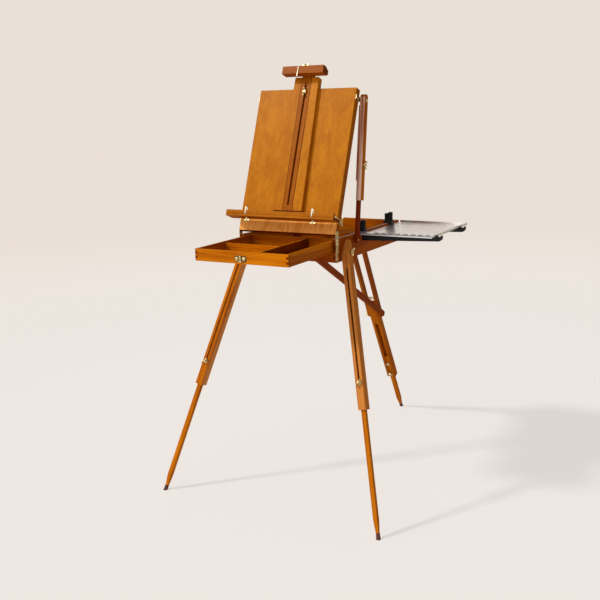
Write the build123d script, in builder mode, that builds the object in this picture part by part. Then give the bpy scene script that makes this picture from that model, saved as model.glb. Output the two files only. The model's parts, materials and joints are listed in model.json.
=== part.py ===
from build123d import *
import os
from math import cos, radians, sin

# French easel: a paint box on three telescopic legs, with a tilting lid that holds the canvas.
# Millimetres. X runs to the right, Y to the back, Z up; the case's front face is at Y 0.

# Fits between pieces
slide_gap = 0.3
pin_gap = 0.05
seat_gap = 0.3

# Case
case_width = 390.0
case_depth = 550.5
case_height = 82.5
case_floor = 881.4
case_wall = 12.0
case_rail_height = 34.8
case_edge_radius = 1.2
case_fingers = 7
rail_fingers = 3
bottom_thickness = 6.0
bottom_inset = 4.0
deck_height = 49.6
deck_thickness = 5.0
divider_thickness = 8.0
runner_width = 9.0

# Drawer
drawer_side_gap = 2.55
drawer_length = 357.0
drawer_height = 41.0
drawer_wall = 9.0
drawer_pulled_out = 304.5
drawer_fingers = 5
drawer_bottom_thickness = 3.0
drawer_bottom_inset = 3.0
drawer_divider_thickness = 6.0
drawer_cross_divider_y = 170.0
drawer_partition_x = 60.0
partition_lower = 2.5
cross_divider_lower = 4.5
latch_width = 50.0
latch_height = 22.0
latch_plate = 1.5
latch_rise = 4.0
latch_stud_radius = 6.2
latch_tongue_width = 8.0

# Lid, leaning back from its pivots on the case
lid_tilt = 20.556
lid_height = 524.5
lid_thickness = 30.0
lid_panel_thickness = 6.0
lid_frame_width = 22.0
back_board_thickness = 6.0
back_board_beyond = 8.0
lid_pivot_y = 5.0
lid_pivot_height = 100.0
lid_pivot_up = 5.0
lid_pivot_back = 13.1
lid_upright = 20.5
lid_lean_further = 9.0

# Lid hinge bars
hinge_bar_width = 20.0
hinge_bar_thickness = 2.0
hinge_pin_radius = 3.0
hinge_pin_depth = 12.0
hinge_first_screw = 12.5
hinge_screw_pitch = 25.0
screw_radius = 3.6
screw_rise = 1.2

# Mast: two tapered rails on the lid and a sliding bar between them
mast_depth = 24.0
mast_proud = 14.0
mast_bar_width = 39.4
mast_rail_top = 28.0
mast_rail_bottom = 38.0
mast_start = 74.0
mast_end = 563.0
mast_bar_end = 590.0
mast_slot_width = 7.5
mast_slot_start = 98.0
mast_slot_end = 540.0
mast_bolt_up = 508.0
mast_bolt_plate = 12.0
mast_corner = 4.0
scoop_radius = 6.4
scoop_depth = 2.5
mast_travel = 390.0

# Top clamp
clamp_length = 166.0
clamp_start = 562.0
clamp_depth = 40.0
clamp_shelf = 24.0
clamp_slope = 9.0
clamp_step_height = 3.0
clamp_edge = 1.5
top_blade_x = -19.0
top_blade_height = 34.0
top_blade_over = 4.0
top_nut_x = 3.0
top_nut_back = 13.0

# Canvas ledge
ledge_beyond = 20.0
ledge_start = 36.0
ledge_height = 22.0
ledge_front = 70.0
ledge_back = 20.0
ledge_lip = 10.0
ledge_platform = 11.0
ledge_groove = 1.6
ledge_groove_share = 0.36
ledge_bevel = 4.0
ledge_edge_radius = 1.5
ledge_tab = 14.0
ledge_nut_back = 6.0
ledge_pivot_up = 50.0
ledge_pivot_back = 17.0
ledge_strap_width = 18.0
ledge_strap_thickness = 2.0
ledge_tilt_down = 25.0
ledge_blade_left = -134.0
ledge_blade_right = 131.5
blade_width = 7.0
blade_thickness = 1.4
blade_height = 28.0
blade_point = 5.0

# Bolts, wing nuts and knobs
bolt_radius = 3.0
leg_bolt_radius = 4.0
wing_span = 30.0
wing_height = 13.0
wing_thickness = 2.2
wing_hub_radius = 6.0
wing_hub_height = 7.0
wing_root = 2.0
blind_bore = 0.8
bolt_end = 4.0
knob_radius = 9.0
knob_height = 9.0
knob_edge = 3.0
bolt_head_radius = 7.0
bolt_head_height = 2.0

# Braces: a channel that hangs from the lid, and a post that slides in it
brace_lid_up = 492.0
brace_lid_back = 45.8
brace_foot_y = 146.0
brace_foot_height = 60.6
brace_gap = 4.0
brace_width = 18.3
brace_depth = 25.7
brace_head = 22.0
brace_length = 347.5
brace_cover_start = 16.5
brace_cover_end = 278.0
post_width = 10.0
post_depth = 20.0
post_length = 335.0
post_slot_start = 150.0
post_slot_end = 322.0
post_slot_width = 6.8
brace_bolt_down = 223.6
brace_slide_per_radian = 145.0
brace_turn_ratio = 0.048
bracket_half = 8.0
bracket_thickness = 2.4
bracket_screws = (8.0, 22.0)

# Front legs: slotted channel with a sliding inner leg
leg_top_beyond = 11.0
leg_top_y = 58.0
leg_top_height = 32.6
leg_foot_out = 236.0
leg_foot_y = -211.5
leg_width = 28.7
leg_depth = 33.6
leg_side_gap = 0.5
leg_nose = 42.0
nose_round = 17.0
scoop_end = 28.0
scoop_bow = 6.5
leg_channel_end = 552.0
leg_slot_start = 61.0
leg_slot_end = 467.0
leg_slot_width = 6.8
leg_front_wall = 7.0
leg_inner_width = 15.0
leg_inner_depth = 17.0
leg_inner_start = 445.0
leg_taper_length = 42.0
leg_tip_width = 10.0
foot_length = 20.0
foot_width = 14.0
foot_neck = 12.0
foot_corner = 3.0
leg_knob_at = 460.0
leg_inner_travel = 380.0
leg_fold = 102.0
leg_boss = 15.5
leg_nut_gap = 1.2

# Back leg: a fork under the case, a channel between its rails, and an inner leg
fork_top_beyond = 13.5
fork_drop = 15.4
knee_back = 183.0
knee_height = 524.5
back_foot_out = 301.0
fork_inside = 40.0
fork_rail_width = 10.0
fork_rail_depth = 27.0
fork_rail_beyond = 8.0
crossbar_from_knee = 83.0
crossbar_radius = 5.0
fork_fold = 110.0
hinge_block_length = 64.0
hinge_pin = 5.0
hinge_nose = 12.0
hinge_block_drop = 8.0
lower_width = 39.0
lower_depth = 28.0
lower_head = 66.0
lower_length = 388.8
groove_start = 54.0
groove_floor = 7.0
back_inner_width = 18.0
back_inner_depth = 15.0
back_inner_start = 261.0
back_inner_travel = 195.0
back_knob_at = 310.0
keeper_at = 369.0
keeper_length = 14.0
keeper_thickness = 1.6
knee_fold = 163.0

# Strut from the case's front to the knee
strut_front_y = 135.0
strut_drop = 14.4
strut_height = 24.0
strut_thickness = 11.0
strut_bracket_thickness = 2.0
strut_bracket_half = 22.0
strut_cheek_radius = 9.0
strut_flange = 20.0

# Side tray with its arms and clamps
tray_sheet = 1.5
tray_rim = 12.0
tray_length = 274.0
tray_depth = 378.0
tray_back_in = 5.5
tray_height = 75.6
tray_side_gap = 9.0
tray_hill_pitch = 27.5
tray_hill_depth = 5.0
tray_hill_space = 1.0
tray_plain = 30.0
tray_back_rim = 7.2
arm_front_in = 46.5
arm_rear_in = 293.0
arm_width = 14.0
arm_root_height = 26.5
arm_tip_height = 15.5
hook_thickness = 5.0
hook_gap = 12.0
hook_rise = 5.0
hook_curl = 14.0
clamp_grip = 7.0
clamp_knob_radius = 9.5
clamp_knob_height = 34.0
clamp_jaw = 6.0
tray_lift = 30.0

# Worked-out places
case_top = case_floor + case_height
wall_inside = case_width / 2 - case_wall
wall_outside = case_width / 2
runner_top = case_floor + case_rail_height
drawer_floor = runner_top + slide_gap
deck_top = case_floor + deck_height
drawer_half = wall_inside - drawer_side_gap
drawer_inside = drawer_half - drawer_wall
lid_pivot = Vector(0, lid_pivot_y, case_floor + lid_pivot_height)
lean = radians(lid_tilt)
lid_corner = lid_pivot - Vector(
    0,
    lid_pivot_up * sin(lean) + lid_pivot_back * cos(lean),
    lid_pivot_up * cos(lean) - lid_pivot_back * sin(lean),
)
# The lid's own frame: x to the right, y through its thickness to the back, z up along it
lid_plane = Plane(origin=lid_corner, x_dir=(1, 0, 0), z_dir=(0, sin(lean), cos(lean)))
leg_top_x = wall_outside + leg_top_beyond
leg_foot_x = leg_top_x + leg_foot_out
leg_boss_x = leg_top_x + leg_boss
leg_top = Vector(leg_top_x, leg_top_y, case_floor + leg_top_height)
leg_line = Vector(leg_foot_x, leg_foot_y, 0) - leg_top
leg_reach = leg_line.length
fork_top_y = case_depth + fork_top_beyond
knee_y = fork_top_y + knee_back
back_foot_y = knee_y + back_foot_out
fork_top = Vector(0, fork_top_y, case_floor - fork_drop)
knee = Vector(0, knee_y, knee_height)
back_line = Vector(0, back_foot_y, 0) - knee
back_reach = back_line.length
fork_line = knee - fork_top
fork_reach = fork_line.length
strut_front = Vector(0, strut_front_y, case_floor - strut_drop)
strut_line = knee - strut_front
strut_half = strut_line.length / 2
brace_top = lid_plane.from_local_coords(Vector(0, brace_lid_back, brace_lid_up))
brace_foot = Vector(0, brace_foot_y, case_floor + brace_foot_height)
brace_line = brace_foot - brace_top
brace_reach = brace_line.length


def leg_plane(start, line):
    """Plane at a leg's pivot whose z runs down the leg, x to the left and y to the back."""
    down = line.normalized()
    across = (Vector(-1, 0, 0) + down * down.X).normalized()
    return Plane(origin=start, x_dir=across, z_dir=down)


front_leg_plane = leg_plane(leg_top, leg_line)
back_leg_plane = leg_plane(knee, back_line)
fork_plane = leg_plane(fork_top, fork_line)
brace_plane = leg_plane(brace_top, brace_line)
strut_plane = Plane(origin=strut_front, x_dir=(1, 0, 0), z_dir=strut_line.normalized())
pieces = {}


def keep(name, part, place=None):
    """Labels a finished piece, moves it to its place and stores it under its name."""
    solid = part if place is None else part.moved(place.location)
    solid.label = name
    pieces[name] = solid
    return solid


def block(x, y, z):
    """Rectangular board between three pairs of limits."""
    with BuildPart() as made:
        with BuildSketch(Plane.XY.offset(z[0])):
            with Locations(((x[0] + x[1]) / 2, (y[0] + y[1]) / 2)):
                Rectangle(x[1] - x[0], y[1] - y[0])
        extrude(amount=z[1] - z[0])
    return made.part


def twin(part):
    """The same piece mirrored to the other side of the easel."""
    with BuildPart() as made:
        mirror(part, about=Plane.YZ)
    return made.part


def finger_spaces(x, y, z, count, first):
    """Every second band of a corner, where the neighbouring board's fingers go."""
    pitch = (z[1] - z[0]) / count
    with BuildPart() as made:
        for index in range(first, count, 2):
            low = z[0] + index * pitch
            add(block(x, y, (low, low + pitch)))
    return made.part


def wing_nut(bore):
    """Wing nut standing on the plane z 0: a round hub with two upswept ears."""
    half = wing_span / 2
    with BuildPart() as made:
        Cylinder(wing_hub_radius, wing_hub_height, align=(Align.CENTER, Align.CENTER, Align.MIN))
        with BuildSketch(Plane.XZ):
            with BuildLine():
                Polyline(
                    (wing_root, wing_root),
                    (wing_hub_radius, wing_root),
                    (half, wing_height * 0.65),
                    (half, wing_height * 0.9),
                    (half * 0.85, wing_height),
                    (half * 0.6, wing_height * 0.9),
                    (wing_root, wing_hub_height * 0.9),
                    close=True,
                )
            make_face()
            mirror(about=Plane.YZ)
        extrude(amount=wing_thickness / 2, both=True)
        Hole(bore, depth=4 * wing_hub_height)
    return made.part


def knob(bore):
    """Round knob standing on the plane z 0: a narrow foot, a grip rim and a bevelled top."""
    top = knob_radius - knob_edge
    with BuildPart() as made:
        with BuildSketch(Plane.XZ):
            Polygon(
                (0, 0),
                (top, 0),
                (knob_radius, knob_edge),
                (knob_radius, knob_height - knob_edge),
                (top, knob_height),
                (0, knob_height),
                align=None,
            )
        revolve(axis=Axis.Z)
        if bore:
            with BuildSketch():
                Circle(bore)
            extrude(amount=knob_height - knob_edge, mode=Mode.SUBTRACT)
    return made.part


def blade(height, grip):
    """Steel retaining blade: a flat strip along z with a rounded tip, gripped below z 0."""
    half = blade_width / 2
    shoulder = height - blade_point
    with BuildPart() as made:
        with BuildSketch(Plane.XZ):
            with BuildLine():
                edge = Polyline((-half, shoulder), (-half, -grip), (half, -grip), (half, shoulder))
                ThreePointArc(edge @ 1, (0, height), edge @ 0)
            make_face()
        extrude(amount=blade_thickness / 2, both=True)
    return made.part


# Case
case_z = (case_floor, case_top)
rail_z = (case_floor, runner_top)
front_y = (0, case_wall)
back_y = (case_depth - case_wall, case_depth)
side_x = (wall_inside, wall_outside)
left_side_x = (-wall_outside, -wall_inside)
bolt_hole_plane = Plane(origin=(wall_inside, leg_top.Y, leg_top.Z), x_dir=(0, 1, 0), z_dir=(1, 0, 0))


def case_side():
    """Right side: fingers at both ends, with the countersunk hole of the front leg's bolt."""
    with BuildPart() as side:
        add(block(side_x, (0, case_depth), case_z))
        add(finger_spaces(side_x, front_y, rail_z, rail_fingers, 0), mode=Mode.SUBTRACT)
        add(finger_spaces(side_x, back_y, case_z, case_fingers, 0), mode=Mode.SUBTRACT)
        with BuildSketch(bolt_hole_plane):
            Circle(leg_bolt_radius)
        extrude(amount=case_wall, mode=Mode.SUBTRACT)
        with BuildSketch(bolt_hole_plane):
            Circle(leg_bolt_radius * 2)
        extrude(amount=bolt_head_height, mode=Mode.SUBTRACT)
        fillet(side.edges().filter_by(Axis.Y).group_by(Axis.Z)[-1], radius=case_edge_radius)
    return side.part


right_side = case_side()
keep("case_side_right", right_side)
keep("case_side_left", twin(right_side))

with BuildPart() as case_front_rail:
    add(block((-wall_inside, wall_inside), front_y, rail_z))
    for wall_x in (side_x, left_side_x):
        add(finger_spaces(wall_x, front_y, rail_z, rail_fingers, 0))
keep("case_front_rail", case_front_rail.part)

with BuildPart() as case_back:
    add(block((-wall_inside, wall_inside), back_y, case_z))
    for wall_x in (side_x, left_side_x):
        add(finger_spaces(wall_x, back_y, case_z, case_fingers, 0))
keep("case_back", case_back.part)

bottom_z = (case_floor + bottom_inset, case_floor + bottom_inset + bottom_thickness)
inside_x = (-wall_inside, wall_inside)
keep("case_bottom", block(inside_x, (case_wall, case_depth - case_wall), bottom_z))

divider_front = drawer_length + 1
divider_y = (divider_front, divider_front + divider_thickness)
keep("case_divider", block(inside_x, divider_y, (bottom_z[1], deck_top - deck_thickness)))
deck_y = (divider_front, case_depth - case_wall)
keep("case_deck", block(inside_x, deck_y, (deck_top - deck_thickness, deck_top)))

with BuildPart() as drawer_runners:
    runner_y = (case_wall, divider_front)
    runner_x = (wall_inside - runner_width, wall_inside)
    add(block(runner_x, runner_y, (bottom_z[1], runner_top)))
    mirror(about=Plane.YZ)
keep("drawer_runners", drawer_runners.part)


def hinge_bar():
    """Right lid hinge bar: a round-topped brass bar with three screws and the lid's pivot pin."""
    half = hinge_bar_width / 2
    bar_face = Plane(origin=(wall_outside, lid_pivot.Y, 0), x_dir=(0, 1, 0), z_dir=(1, 0, 0))
    low = case_floor + seat_gap
    with BuildPart() as bar:
        with BuildSketch(bar_face):
            with BuildLine():
                sides = Polyline((-half, lid_pivot.Z), (-half, low), (half, low), (half, lid_pivot.Z))
                ThreePointArc(sides @ 1, (0, lid_pivot.Z + half), sides @ 0)
            make_face()
        extrude(amount=hinge_bar_thickness)
        with BuildSketch(bar_face.offset(hinge_bar_thickness)):
            first = low + hinge_first_screw
            with Locations(*[(0, first + hinge_screw_pitch * turn) for turn in range(3)], (0, lid_pivot.Z)):
                Circle(screw_radius)
        extrude(amount=screw_rise)
        with BuildSketch(bar_face):
            with Locations((0, lid_pivot.Z)):
                Circle(hinge_pin_radius)
        extrude(amount=-hinge_pin_depth)
    return bar.part


with BuildPart() as lid_hinge_bars:
    add(hinge_bar())
    mirror(about=Plane.YZ)
keep("lid_hinge_bars", lid_hinge_bars.part)


def front_leg_bolt():
    """Bolt through the case wall that carries the right front leg."""
    with BuildPart() as bolt:
        with BuildSketch(bolt_hole_plane):
            Circle(leg_bolt_radius * 2)
        extrude(amount=bolt_head_height)
        with BuildSketch(bolt_hole_plane):
            Circle(leg_bolt_radius)
        extrude(amount=leg_boss_x + wing_hub_height + bolt_end - wall_inside)
    return bolt.part


with BuildPart() as front_leg_bolts:
    add(front_leg_bolt())
    mirror(about=Plane.YZ)
keep("front_leg_bolts", front_leg_bolts.part)

side_view = Plane(origin=(0, 0, 0), x_dir=(0, 1, 0), z_dir=(1, 0, 0))
rail_half_depth = fork_rail_depth / 2
block_half = fork_inside / 2 - slide_gap
with BuildPart() as back_leg_hinge:
    with BuildSketch(side_view.offset(-block_half)):
        with BuildLine():
            outline = Polyline(
                (case_depth, case_floor),
                (fork_top.Y - hinge_block_length, case_floor),
                (fork_top.Y - hinge_block_length + hinge_nose, fork_top.Z - hinge_block_drop),
                (fork_top.Y, fork_top.Z - hinge_nose),
            )
            nose_tip = (fork_top.Y + hinge_nose, fork_top.Z)
            nose = ThreePointArc(outline @ 1, nose_tip, (fork_top.Y, fork_top.Z + hinge_nose))
            Line(nose @ 1, outline @ 0)
        make_face()
    extrude(amount=2 * block_half)
    with BuildSketch(side_view.offset(-fork_inside / 2 - fork_rail_width)):
        with Locations((fork_top.Y, fork_top.Z)):
            Circle(hinge_pin)
    extrude(amount=fork_inside + 2 * fork_rail_width)
keep("back_leg_hinge", back_leg_hinge.part)

rail_outside = fork_inside / 2 + fork_rail_width
lower_half_x = (rail_outside + 0.4, rail_outside + 0.4 + strut_thickness)
upper_half_x = (lower_half_x[1] + slide_gap, lower_half_x[1] + slide_gap + strut_thickness)
with BuildPart() as strut_bracket:
    plate_x = upper_half_x[1] + slide_gap
    bracket_y = (strut_front.Y - strut_bracket_half, strut_front.Y + strut_bracket_half)
    with BuildSketch(side_view.offset(plate_x)):
        with BuildLine():
            cheek = Polyline(
                (strut_front.Y - strut_cheek_radius, strut_front.Z),
                (bracket_y[0], case_floor),
                (bracket_y[1], case_floor),
                (strut_front.Y + strut_cheek_radius, strut_front.Z),
            )
            ThreePointArc(cheek @ 1, (strut_front.Y, strut_front.Z - strut_cheek_radius), cheek @ 0)
        make_face()
    extrude(amount=strut_bracket_thickness)
    flange_z = (case_floor - strut_bracket_thickness, case_floor)
    add(block((plate_x, plate_x + strut_flange), bracket_y, flange_z))
    with BuildSketch(side_view.offset(upper_half_x[0])):
        with Locations((strut_front.Y, strut_front.Z)):
            Circle(bolt_radius)
    extrude(amount=plate_x - upper_half_x[0])
keep("strut_bracket", strut_bracket.part)

# Drawer
drawer_y = (-drawer_pulled_out, drawer_length - drawer_pulled_out)
drawer_z = (drawer_floor, drawer_floor + drawer_height)
drawer_front_y = (drawer_y[0], drawer_y[0] + drawer_wall)
drawer_back_y = (drawer_y[1] - drawer_wall, drawer_y[1])
drawer_side_x = (drawer_inside, drawer_half)

with BuildPart() as drawer_side:
    add(block(drawer_side_x, drawer_y, drawer_z))
    for end_y in (drawer_front_y, drawer_back_y):
        add(finger_spaces(drawer_side_x, end_y, drawer_z, drawer_fingers, 0), mode=Mode.SUBTRACT)
keep("drawer_side_right", drawer_side.part)
keep("drawer_side_left", twin(drawer_side.part))

for name, end_y in (("drawer_front", drawer_front_y), ("drawer_back", drawer_back_y)):
    with BuildPart() as drawer_end:
        add(block((-drawer_inside, drawer_inside), end_y, drawer_z))
        add(finger_spaces(drawer_side_x, end_y, drawer_z, drawer_fingers, 0))
        add(finger_spaces((-drawer_half, -drawer_inside), end_y, drawer_z, drawer_fingers, 0))
    keep(name, drawer_end.part)

board_low = drawer_z[0] + drawer_bottom_inset
board_top = board_low + drawer_bottom_thickness
drawer_room_y = (drawer_front_y[1], drawer_back_y[0])
drawer_room_x = (-drawer_inside, drawer_inside)
keep("drawer_bottom", block(drawer_room_x, drawer_room_y, (board_low, board_top)))

divider_half = drawer_divider_thickness / 2
with BuildPart() as drawer_dividers:
    partition_x = (drawer_partition_x - divider_half, drawer_partition_x + divider_half)
    add(block(partition_x, drawer_room_y, (board_top, drawer_z[1] - partition_lower)))
    cross_y = drawer_y[0] + drawer_cross_divider_y
    cross_x = (-drawer_inside, partition_x[0])
    cross_z = (board_top, drawer_z[1] - cross_divider_lower)
    add(block(cross_x, (cross_y - divider_half, cross_y + divider_half), cross_z))
keep("drawer_dividers", drawer_dividers.part)

with BuildPart() as drawer_latch:
    latch_z = (drawer_z[0] + drawer_z[1]) / 2 - latch_rise
    latch_face = Plane(origin=(0, drawer_y[0], latch_z), x_dir=(1, 0, 0), z_dir=(0, -1, 0))
    with BuildSketch(latch_face):
        with Locations((-latch_width / 4, 0), (latch_width / 4, 0)):
            Circle(latch_height / 2)
        Rectangle(latch_width / 2, latch_height / 2)
    extrude(amount=latch_plate)
    with BuildSketch(latch_face.offset(latch_plate)):
        with Locations((-latch_width / 4 - 2, 0), (latch_width / 4 + 2, 0)):
            Circle(latch_stud_radius)
        Rectangle(latch_tongue_width, latch_height)
    extrude(amount=latch_rise)
keep("drawer_latch", drawer_latch.part)

# Lid, built upright in its own frame and then leaned back
lid_half = wall_outside - seat_gap
mast_back = mast_depth - mast_proud
bar_half = mast_bar_width / 2
rail_inner = bar_half + slide_gap


def mast_half_width(height):
    """Outer half width of the tapered mast rails at a height along the lid."""
    share = (height - mast_start) / (mast_end - mast_start)
    return rail_inner + mast_rail_bottom + (mast_rail_top - mast_rail_bottom) * share


with BuildPart() as lid_panel:
    add(block((-lid_half, lid_half), (0, lid_panel_thickness), (0, lid_height)))
    with BuildSketch(Plane.XZ):
        with BuildLine():
            Polyline(
                (-mast_half_width(mast_start), mast_start),
                (mast_half_width(mast_start), mast_start),
                (mast_half_width(lid_height), lid_height),
                (-mast_half_width(lid_height), lid_height),
                close=True,
            )
        make_face()
    extrude(amount=-lid_panel_thickness, mode=Mode.SUBTRACT)
    pivot_line = Plane(origin=(0, lid_pivot_back, lid_pivot_up), x_dir=(0, 1, 0), z_dir=(1, 0, 0))
    for hand in (-1, 1):
        with BuildSketch(pivot_line):
            Circle(hinge_pin_radius + pin_gap)
        extrude(amount=hand * lid_half, mode=Mode.SUBTRACT)
keep("lid_panel", lid_panel.part, lid_plane)

with BuildPart() as lid_frame:
    add(block((-lid_half, lid_half), (lid_panel_thickness, lid_thickness), (0, lid_height)))
    inside = lid_half - lid_frame_width
    room_z = (lid_frame_width, lid_height - lid_frame_width)
    add(block((-inside, inside), (lid_panel_thickness, lid_thickness), room_z), mode=Mode.SUBTRACT)
    mast_room = (-mast_half_width(mast_start) - 1, mast_half_width(mast_start) + 1)
    mast_room_y = (lid_panel_thickness, mast_back + slide_gap)
    add(block(mast_room, mast_room_y, (mast_start, lid_height)), mode=Mode.SUBTRACT)
    for hand in (-1, 1):
        outer = Plane(
            origin=(hand * lid_half, lid_pivot_back, lid_pivot_up), x_dir=(0, 1, 0), z_dir=(-hand, 0, 0)
        )
        with BuildSketch(outer):
            Circle(hinge_pin_radius + pin_gap)
        extrude(amount=hinge_pin_depth + 1, mode=Mode.SUBTRACT)
    back_board_y = (mast_back + slide_gap, mast_back + slide_gap + back_board_thickness)
    board_half = mast_half_width(mast_start) + back_board_beyond
    add(block((-board_half, board_half), back_board_y, room_z))
keep("lid_frame", lid_frame.part, lid_plane)


def mast_rail():
    """Right mast rail: tapered outside, straight inside, with a rounded top corner."""
    with BuildPart() as rail:
        with BuildSketch(Plane.XZ.offset(mast_proud)):
            with BuildLine():
                Polyline(
                    (rail_inner, mast_start),
                    (mast_half_width(mast_start), mast_start),
                    (mast_half_width(mast_end), mast_end),
                    (rail_inner, mast_end),
                    close=True,
                )
            make_face()
        extrude(amount=-mast_depth)
        fillet(rail.edges().filter_by(Axis.Y).sort_by(Axis.Z)[-1], radius=mast_corner)
    return rail.part


right_rail = mast_rail()
keep("mast_rail_right", right_rail, lid_plane)
keep("mast_rail_left", twin(right_rail), lid_plane)


def brace_bracket():
    """Brass strap on the lid's right side that carries the brace, with its pivot pin."""
    strap_face = Plane(origin=(lid_half, 0, brace_lid_up), x_dir=(0, 1, 0), z_dir=(1, 0, 0))
    with BuildPart() as strap:
        with BuildSketch(strap_face):
            with BuildLine():
                edge = Polyline(
                    (brace_lid_back, bracket_half),
                    (bracket_thickness, bracket_half),
                    (bracket_thickness, -bracket_half),
                    (brace_lid_back, -bracket_half),
                )
                ThreePointArc(edge @ 1, (brace_lid_back + bracket_half, 0), edge @ 0)
            make_face()
        extrude(amount=bracket_thickness)
        with BuildSketch(strap_face.offset(bracket_thickness)):
            with Locations(*[(screw_y, 0) for screw_y in bracket_screws]):
                Circle(screw_radius)
        extrude(amount=screw_rise)
        with BuildSketch(strap_face):
            with Locations((brace_lid_back, 0)):
                Circle(bolt_radius)
        extrude(amount=brace_gap + brace_width + 2 * seat_gap)
        with BuildSketch(strap_face.offset(brace_gap + brace_width + 2 * seat_gap)):
            with Locations((brace_lid_back, 0)):
                Circle(bolt_head_radius)
        extrude(amount=bolt_head_height)
    return strap.part


mast_bolt_plane = Plane(origin=(0, mast_back, mast_bolt_up), x_dir=(1, 0, 0), z_dir=(0, -1, 0))
with BuildPart() as mast_bolt:
    with BuildSketch(mast_bolt_plane):
        Circle(bolt_radius)
    extrude(amount=mast_depth + wing_hub_height + bolt_end)
    with BuildSketch(mast_bolt_plane.offset(-seat_gap)):
        Rectangle(mast_bolt_plate, mast_bolt_plate)
    extrude(amount=seat_gap)
# Mast bar
with BuildPart() as mast_bar:
    with BuildSketch(Plane.XZ.offset(mast_proud)):
        with Locations((0, (mast_start + mast_bar_end) / 2)):
            RectangleRounded(mast_bar_width, mast_bar_end - mast_start, 3)
        slot_length = mast_slot_end - mast_slot_start + mast_slot_width
        with Locations((0, (mast_slot_start + mast_slot_end) / 2)):
            SlotOverall(slot_length, mast_slot_width, rotation=90, mode=Mode.SUBTRACT)
    extrude(amount=-mast_depth)
    with BuildSketch(Plane.XZ.offset(mast_proud)):
        with Locations((0, mast_slot_end)):
            Circle(scoop_radius)
    extrude(amount=-scoop_depth, mode=Mode.SUBTRACT)
keep("mast_bar", mast_bar.part, lid_plane)

mast_nut_plane = Plane(
    origin=(0, -mast_proud - seat_gap, mast_bolt_up), x_dir=(0, 0, 1), z_dir=(0, -1, 0)
)
keep("mast_wing_nut", wing_nut(bolt_radius + pin_gap).moved(mast_nut_plane.location), lid_plane)

# Top clamp
clamp_half = clamp_length / 2
clamp_back = -mast_proud - seat_gap
clamp_front = clamp_back - clamp_depth
with BuildPart() as top_clamp:
    with BuildSketch(Plane.YZ.offset(-clamp_half)):
        with BuildLine():
            Polyline(
                (clamp_back, clamp_start + clamp_slope / 2),
                (clamp_back - clamp_slope, clamp_start),
                (clamp_front, clamp_start),
                (clamp_front, mast_bar_end),
                (clamp_front + clamp_shelf, mast_bar_end),
                (clamp_front + clamp_shelf, mast_bar_end - clamp_step_height),
                (clamp_back, mast_bar_end - 3 * clamp_step_height),
                close=True,
            )
        make_face()
    extrude(amount=clamp_length)
    chamfer(top_clamp.edges().filter_by(Axis.Z), length=clamp_edge)
keep("top_clamp", top_clamp.part, lid_plane)

with BuildPart() as top_retainer:
    blade_at = (top_blade_x, clamp_front - blade_thickness / 2, mast_bar_end - top_blade_over)
    blade_plane = Plane(origin=blade_at, x_dir=(-1, 0, 0), z_dir=(0, 0, -1))
    add(blade(top_blade_height, top_blade_over).moved(blade_plane.location))
    nut_at = Location((top_nut_x, clamp_front + top_nut_back, mast_bar_end))
    add(wing_nut(blind_bore).moved(nut_at))
keep("top_retainer", top_retainer.part, lid_plane)

# Canvas ledge
ledge_half = wall_outside + ledge_beyond
ledge_top = ledge_start + ledge_height
lip_back = -ledge_front + ledge_lip
notch_y = (lip_back - blade_thickness - pin_gap, lip_back)
blade_foot = ledge_start + ledge_platform - ledge_groove
with BuildPart() as canvas_ledge:
    with BuildSketch(Plane.YZ.offset(-ledge_half)):
        with BuildLine():
            Polyline(
                (-ledge_back, ledge_start + ledge_bevel),
                (-ledge_back - ledge_bevel, ledge_start),
                (-ledge_front, ledge_start),
                (-ledge_front, ledge_top),
                (-ledge_front + ledge_lip, ledge_top),
                (-ledge_front + ledge_lip, ledge_start + ledge_platform),
                (-ledge_back, ledge_start + ledge_platform),
                close=True,
            )
        make_face()
        with Locations((-ledge_front, ledge_start + ledge_height * ledge_groove_share)):
            Rectangle(ledge_groove * 2, ledge_groove, mode=Mode.SUBTRACT)
    extrude(amount=2 * ledge_half)
    fillet(canvas_ledge.edges().filter_by(Axis.X).group_by(Axis.Z)[-1], radius=ledge_edge_radius)
    for blade_x in (ledge_blade_left, ledge_blade_right):
        notch_x = (blade_x - blade_width / 2 - pin_gap, blade_x + blade_width / 2 + pin_gap)
        add(block(notch_x, notch_y, (blade_foot, ledge_top)), mode=Mode.SUBTRACT)
keep("canvas_ledge", canvas_ledge.part, lid_plane)


def ledge_strap():
    """Right strap of the ledge: brass bar along the lid's side with its bolt and wing nut."""
    strap_x = wall_outside + slide_gap
    face = Plane(origin=(strap_x, 0, 0), x_dir=(0, 1, 0), z_dir=(1, 0, 0))
    half = ledge_strap_width / 2
    low = ledge_pivot_up - half
    high = ledge_pivot_up + half
    with BuildPart() as strap:
        with BuildSketch(face):
            with BuildLine():
                front = -ledge_back
                back = ledge_pivot_back
                edge = Polyline((back, high), (front, high), (front, low), (back, low))
                ThreePointArc(edge @ 1, (back + half, ledge_pivot_up), edge @ 0)
            make_face()
        extrude(amount=ledge_strap_thickness)
        with BuildSketch(face):
            with Locations((front, low)):
                tab_height = ledge_start + ledge_platform - low
                Rectangle(ledge_strap_thickness, tab_height, align=(Align.MAX, Align.MIN))
        extrude(amount=ledge_tab)
        with BuildSketch(face):
            with Locations((ledge_pivot_back, ledge_pivot_up)):
                Circle(bolt_radius + pin_gap)
        extrude(amount=ledge_strap_thickness, mode=Mode.SUBTRACT)
    return strap.part


with BuildPart() as ledge_straps:
    add(ledge_strap())
    mirror(about=Plane.YZ)
    add(canvas_ledge.part, mode=Mode.SUBTRACT)


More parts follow.
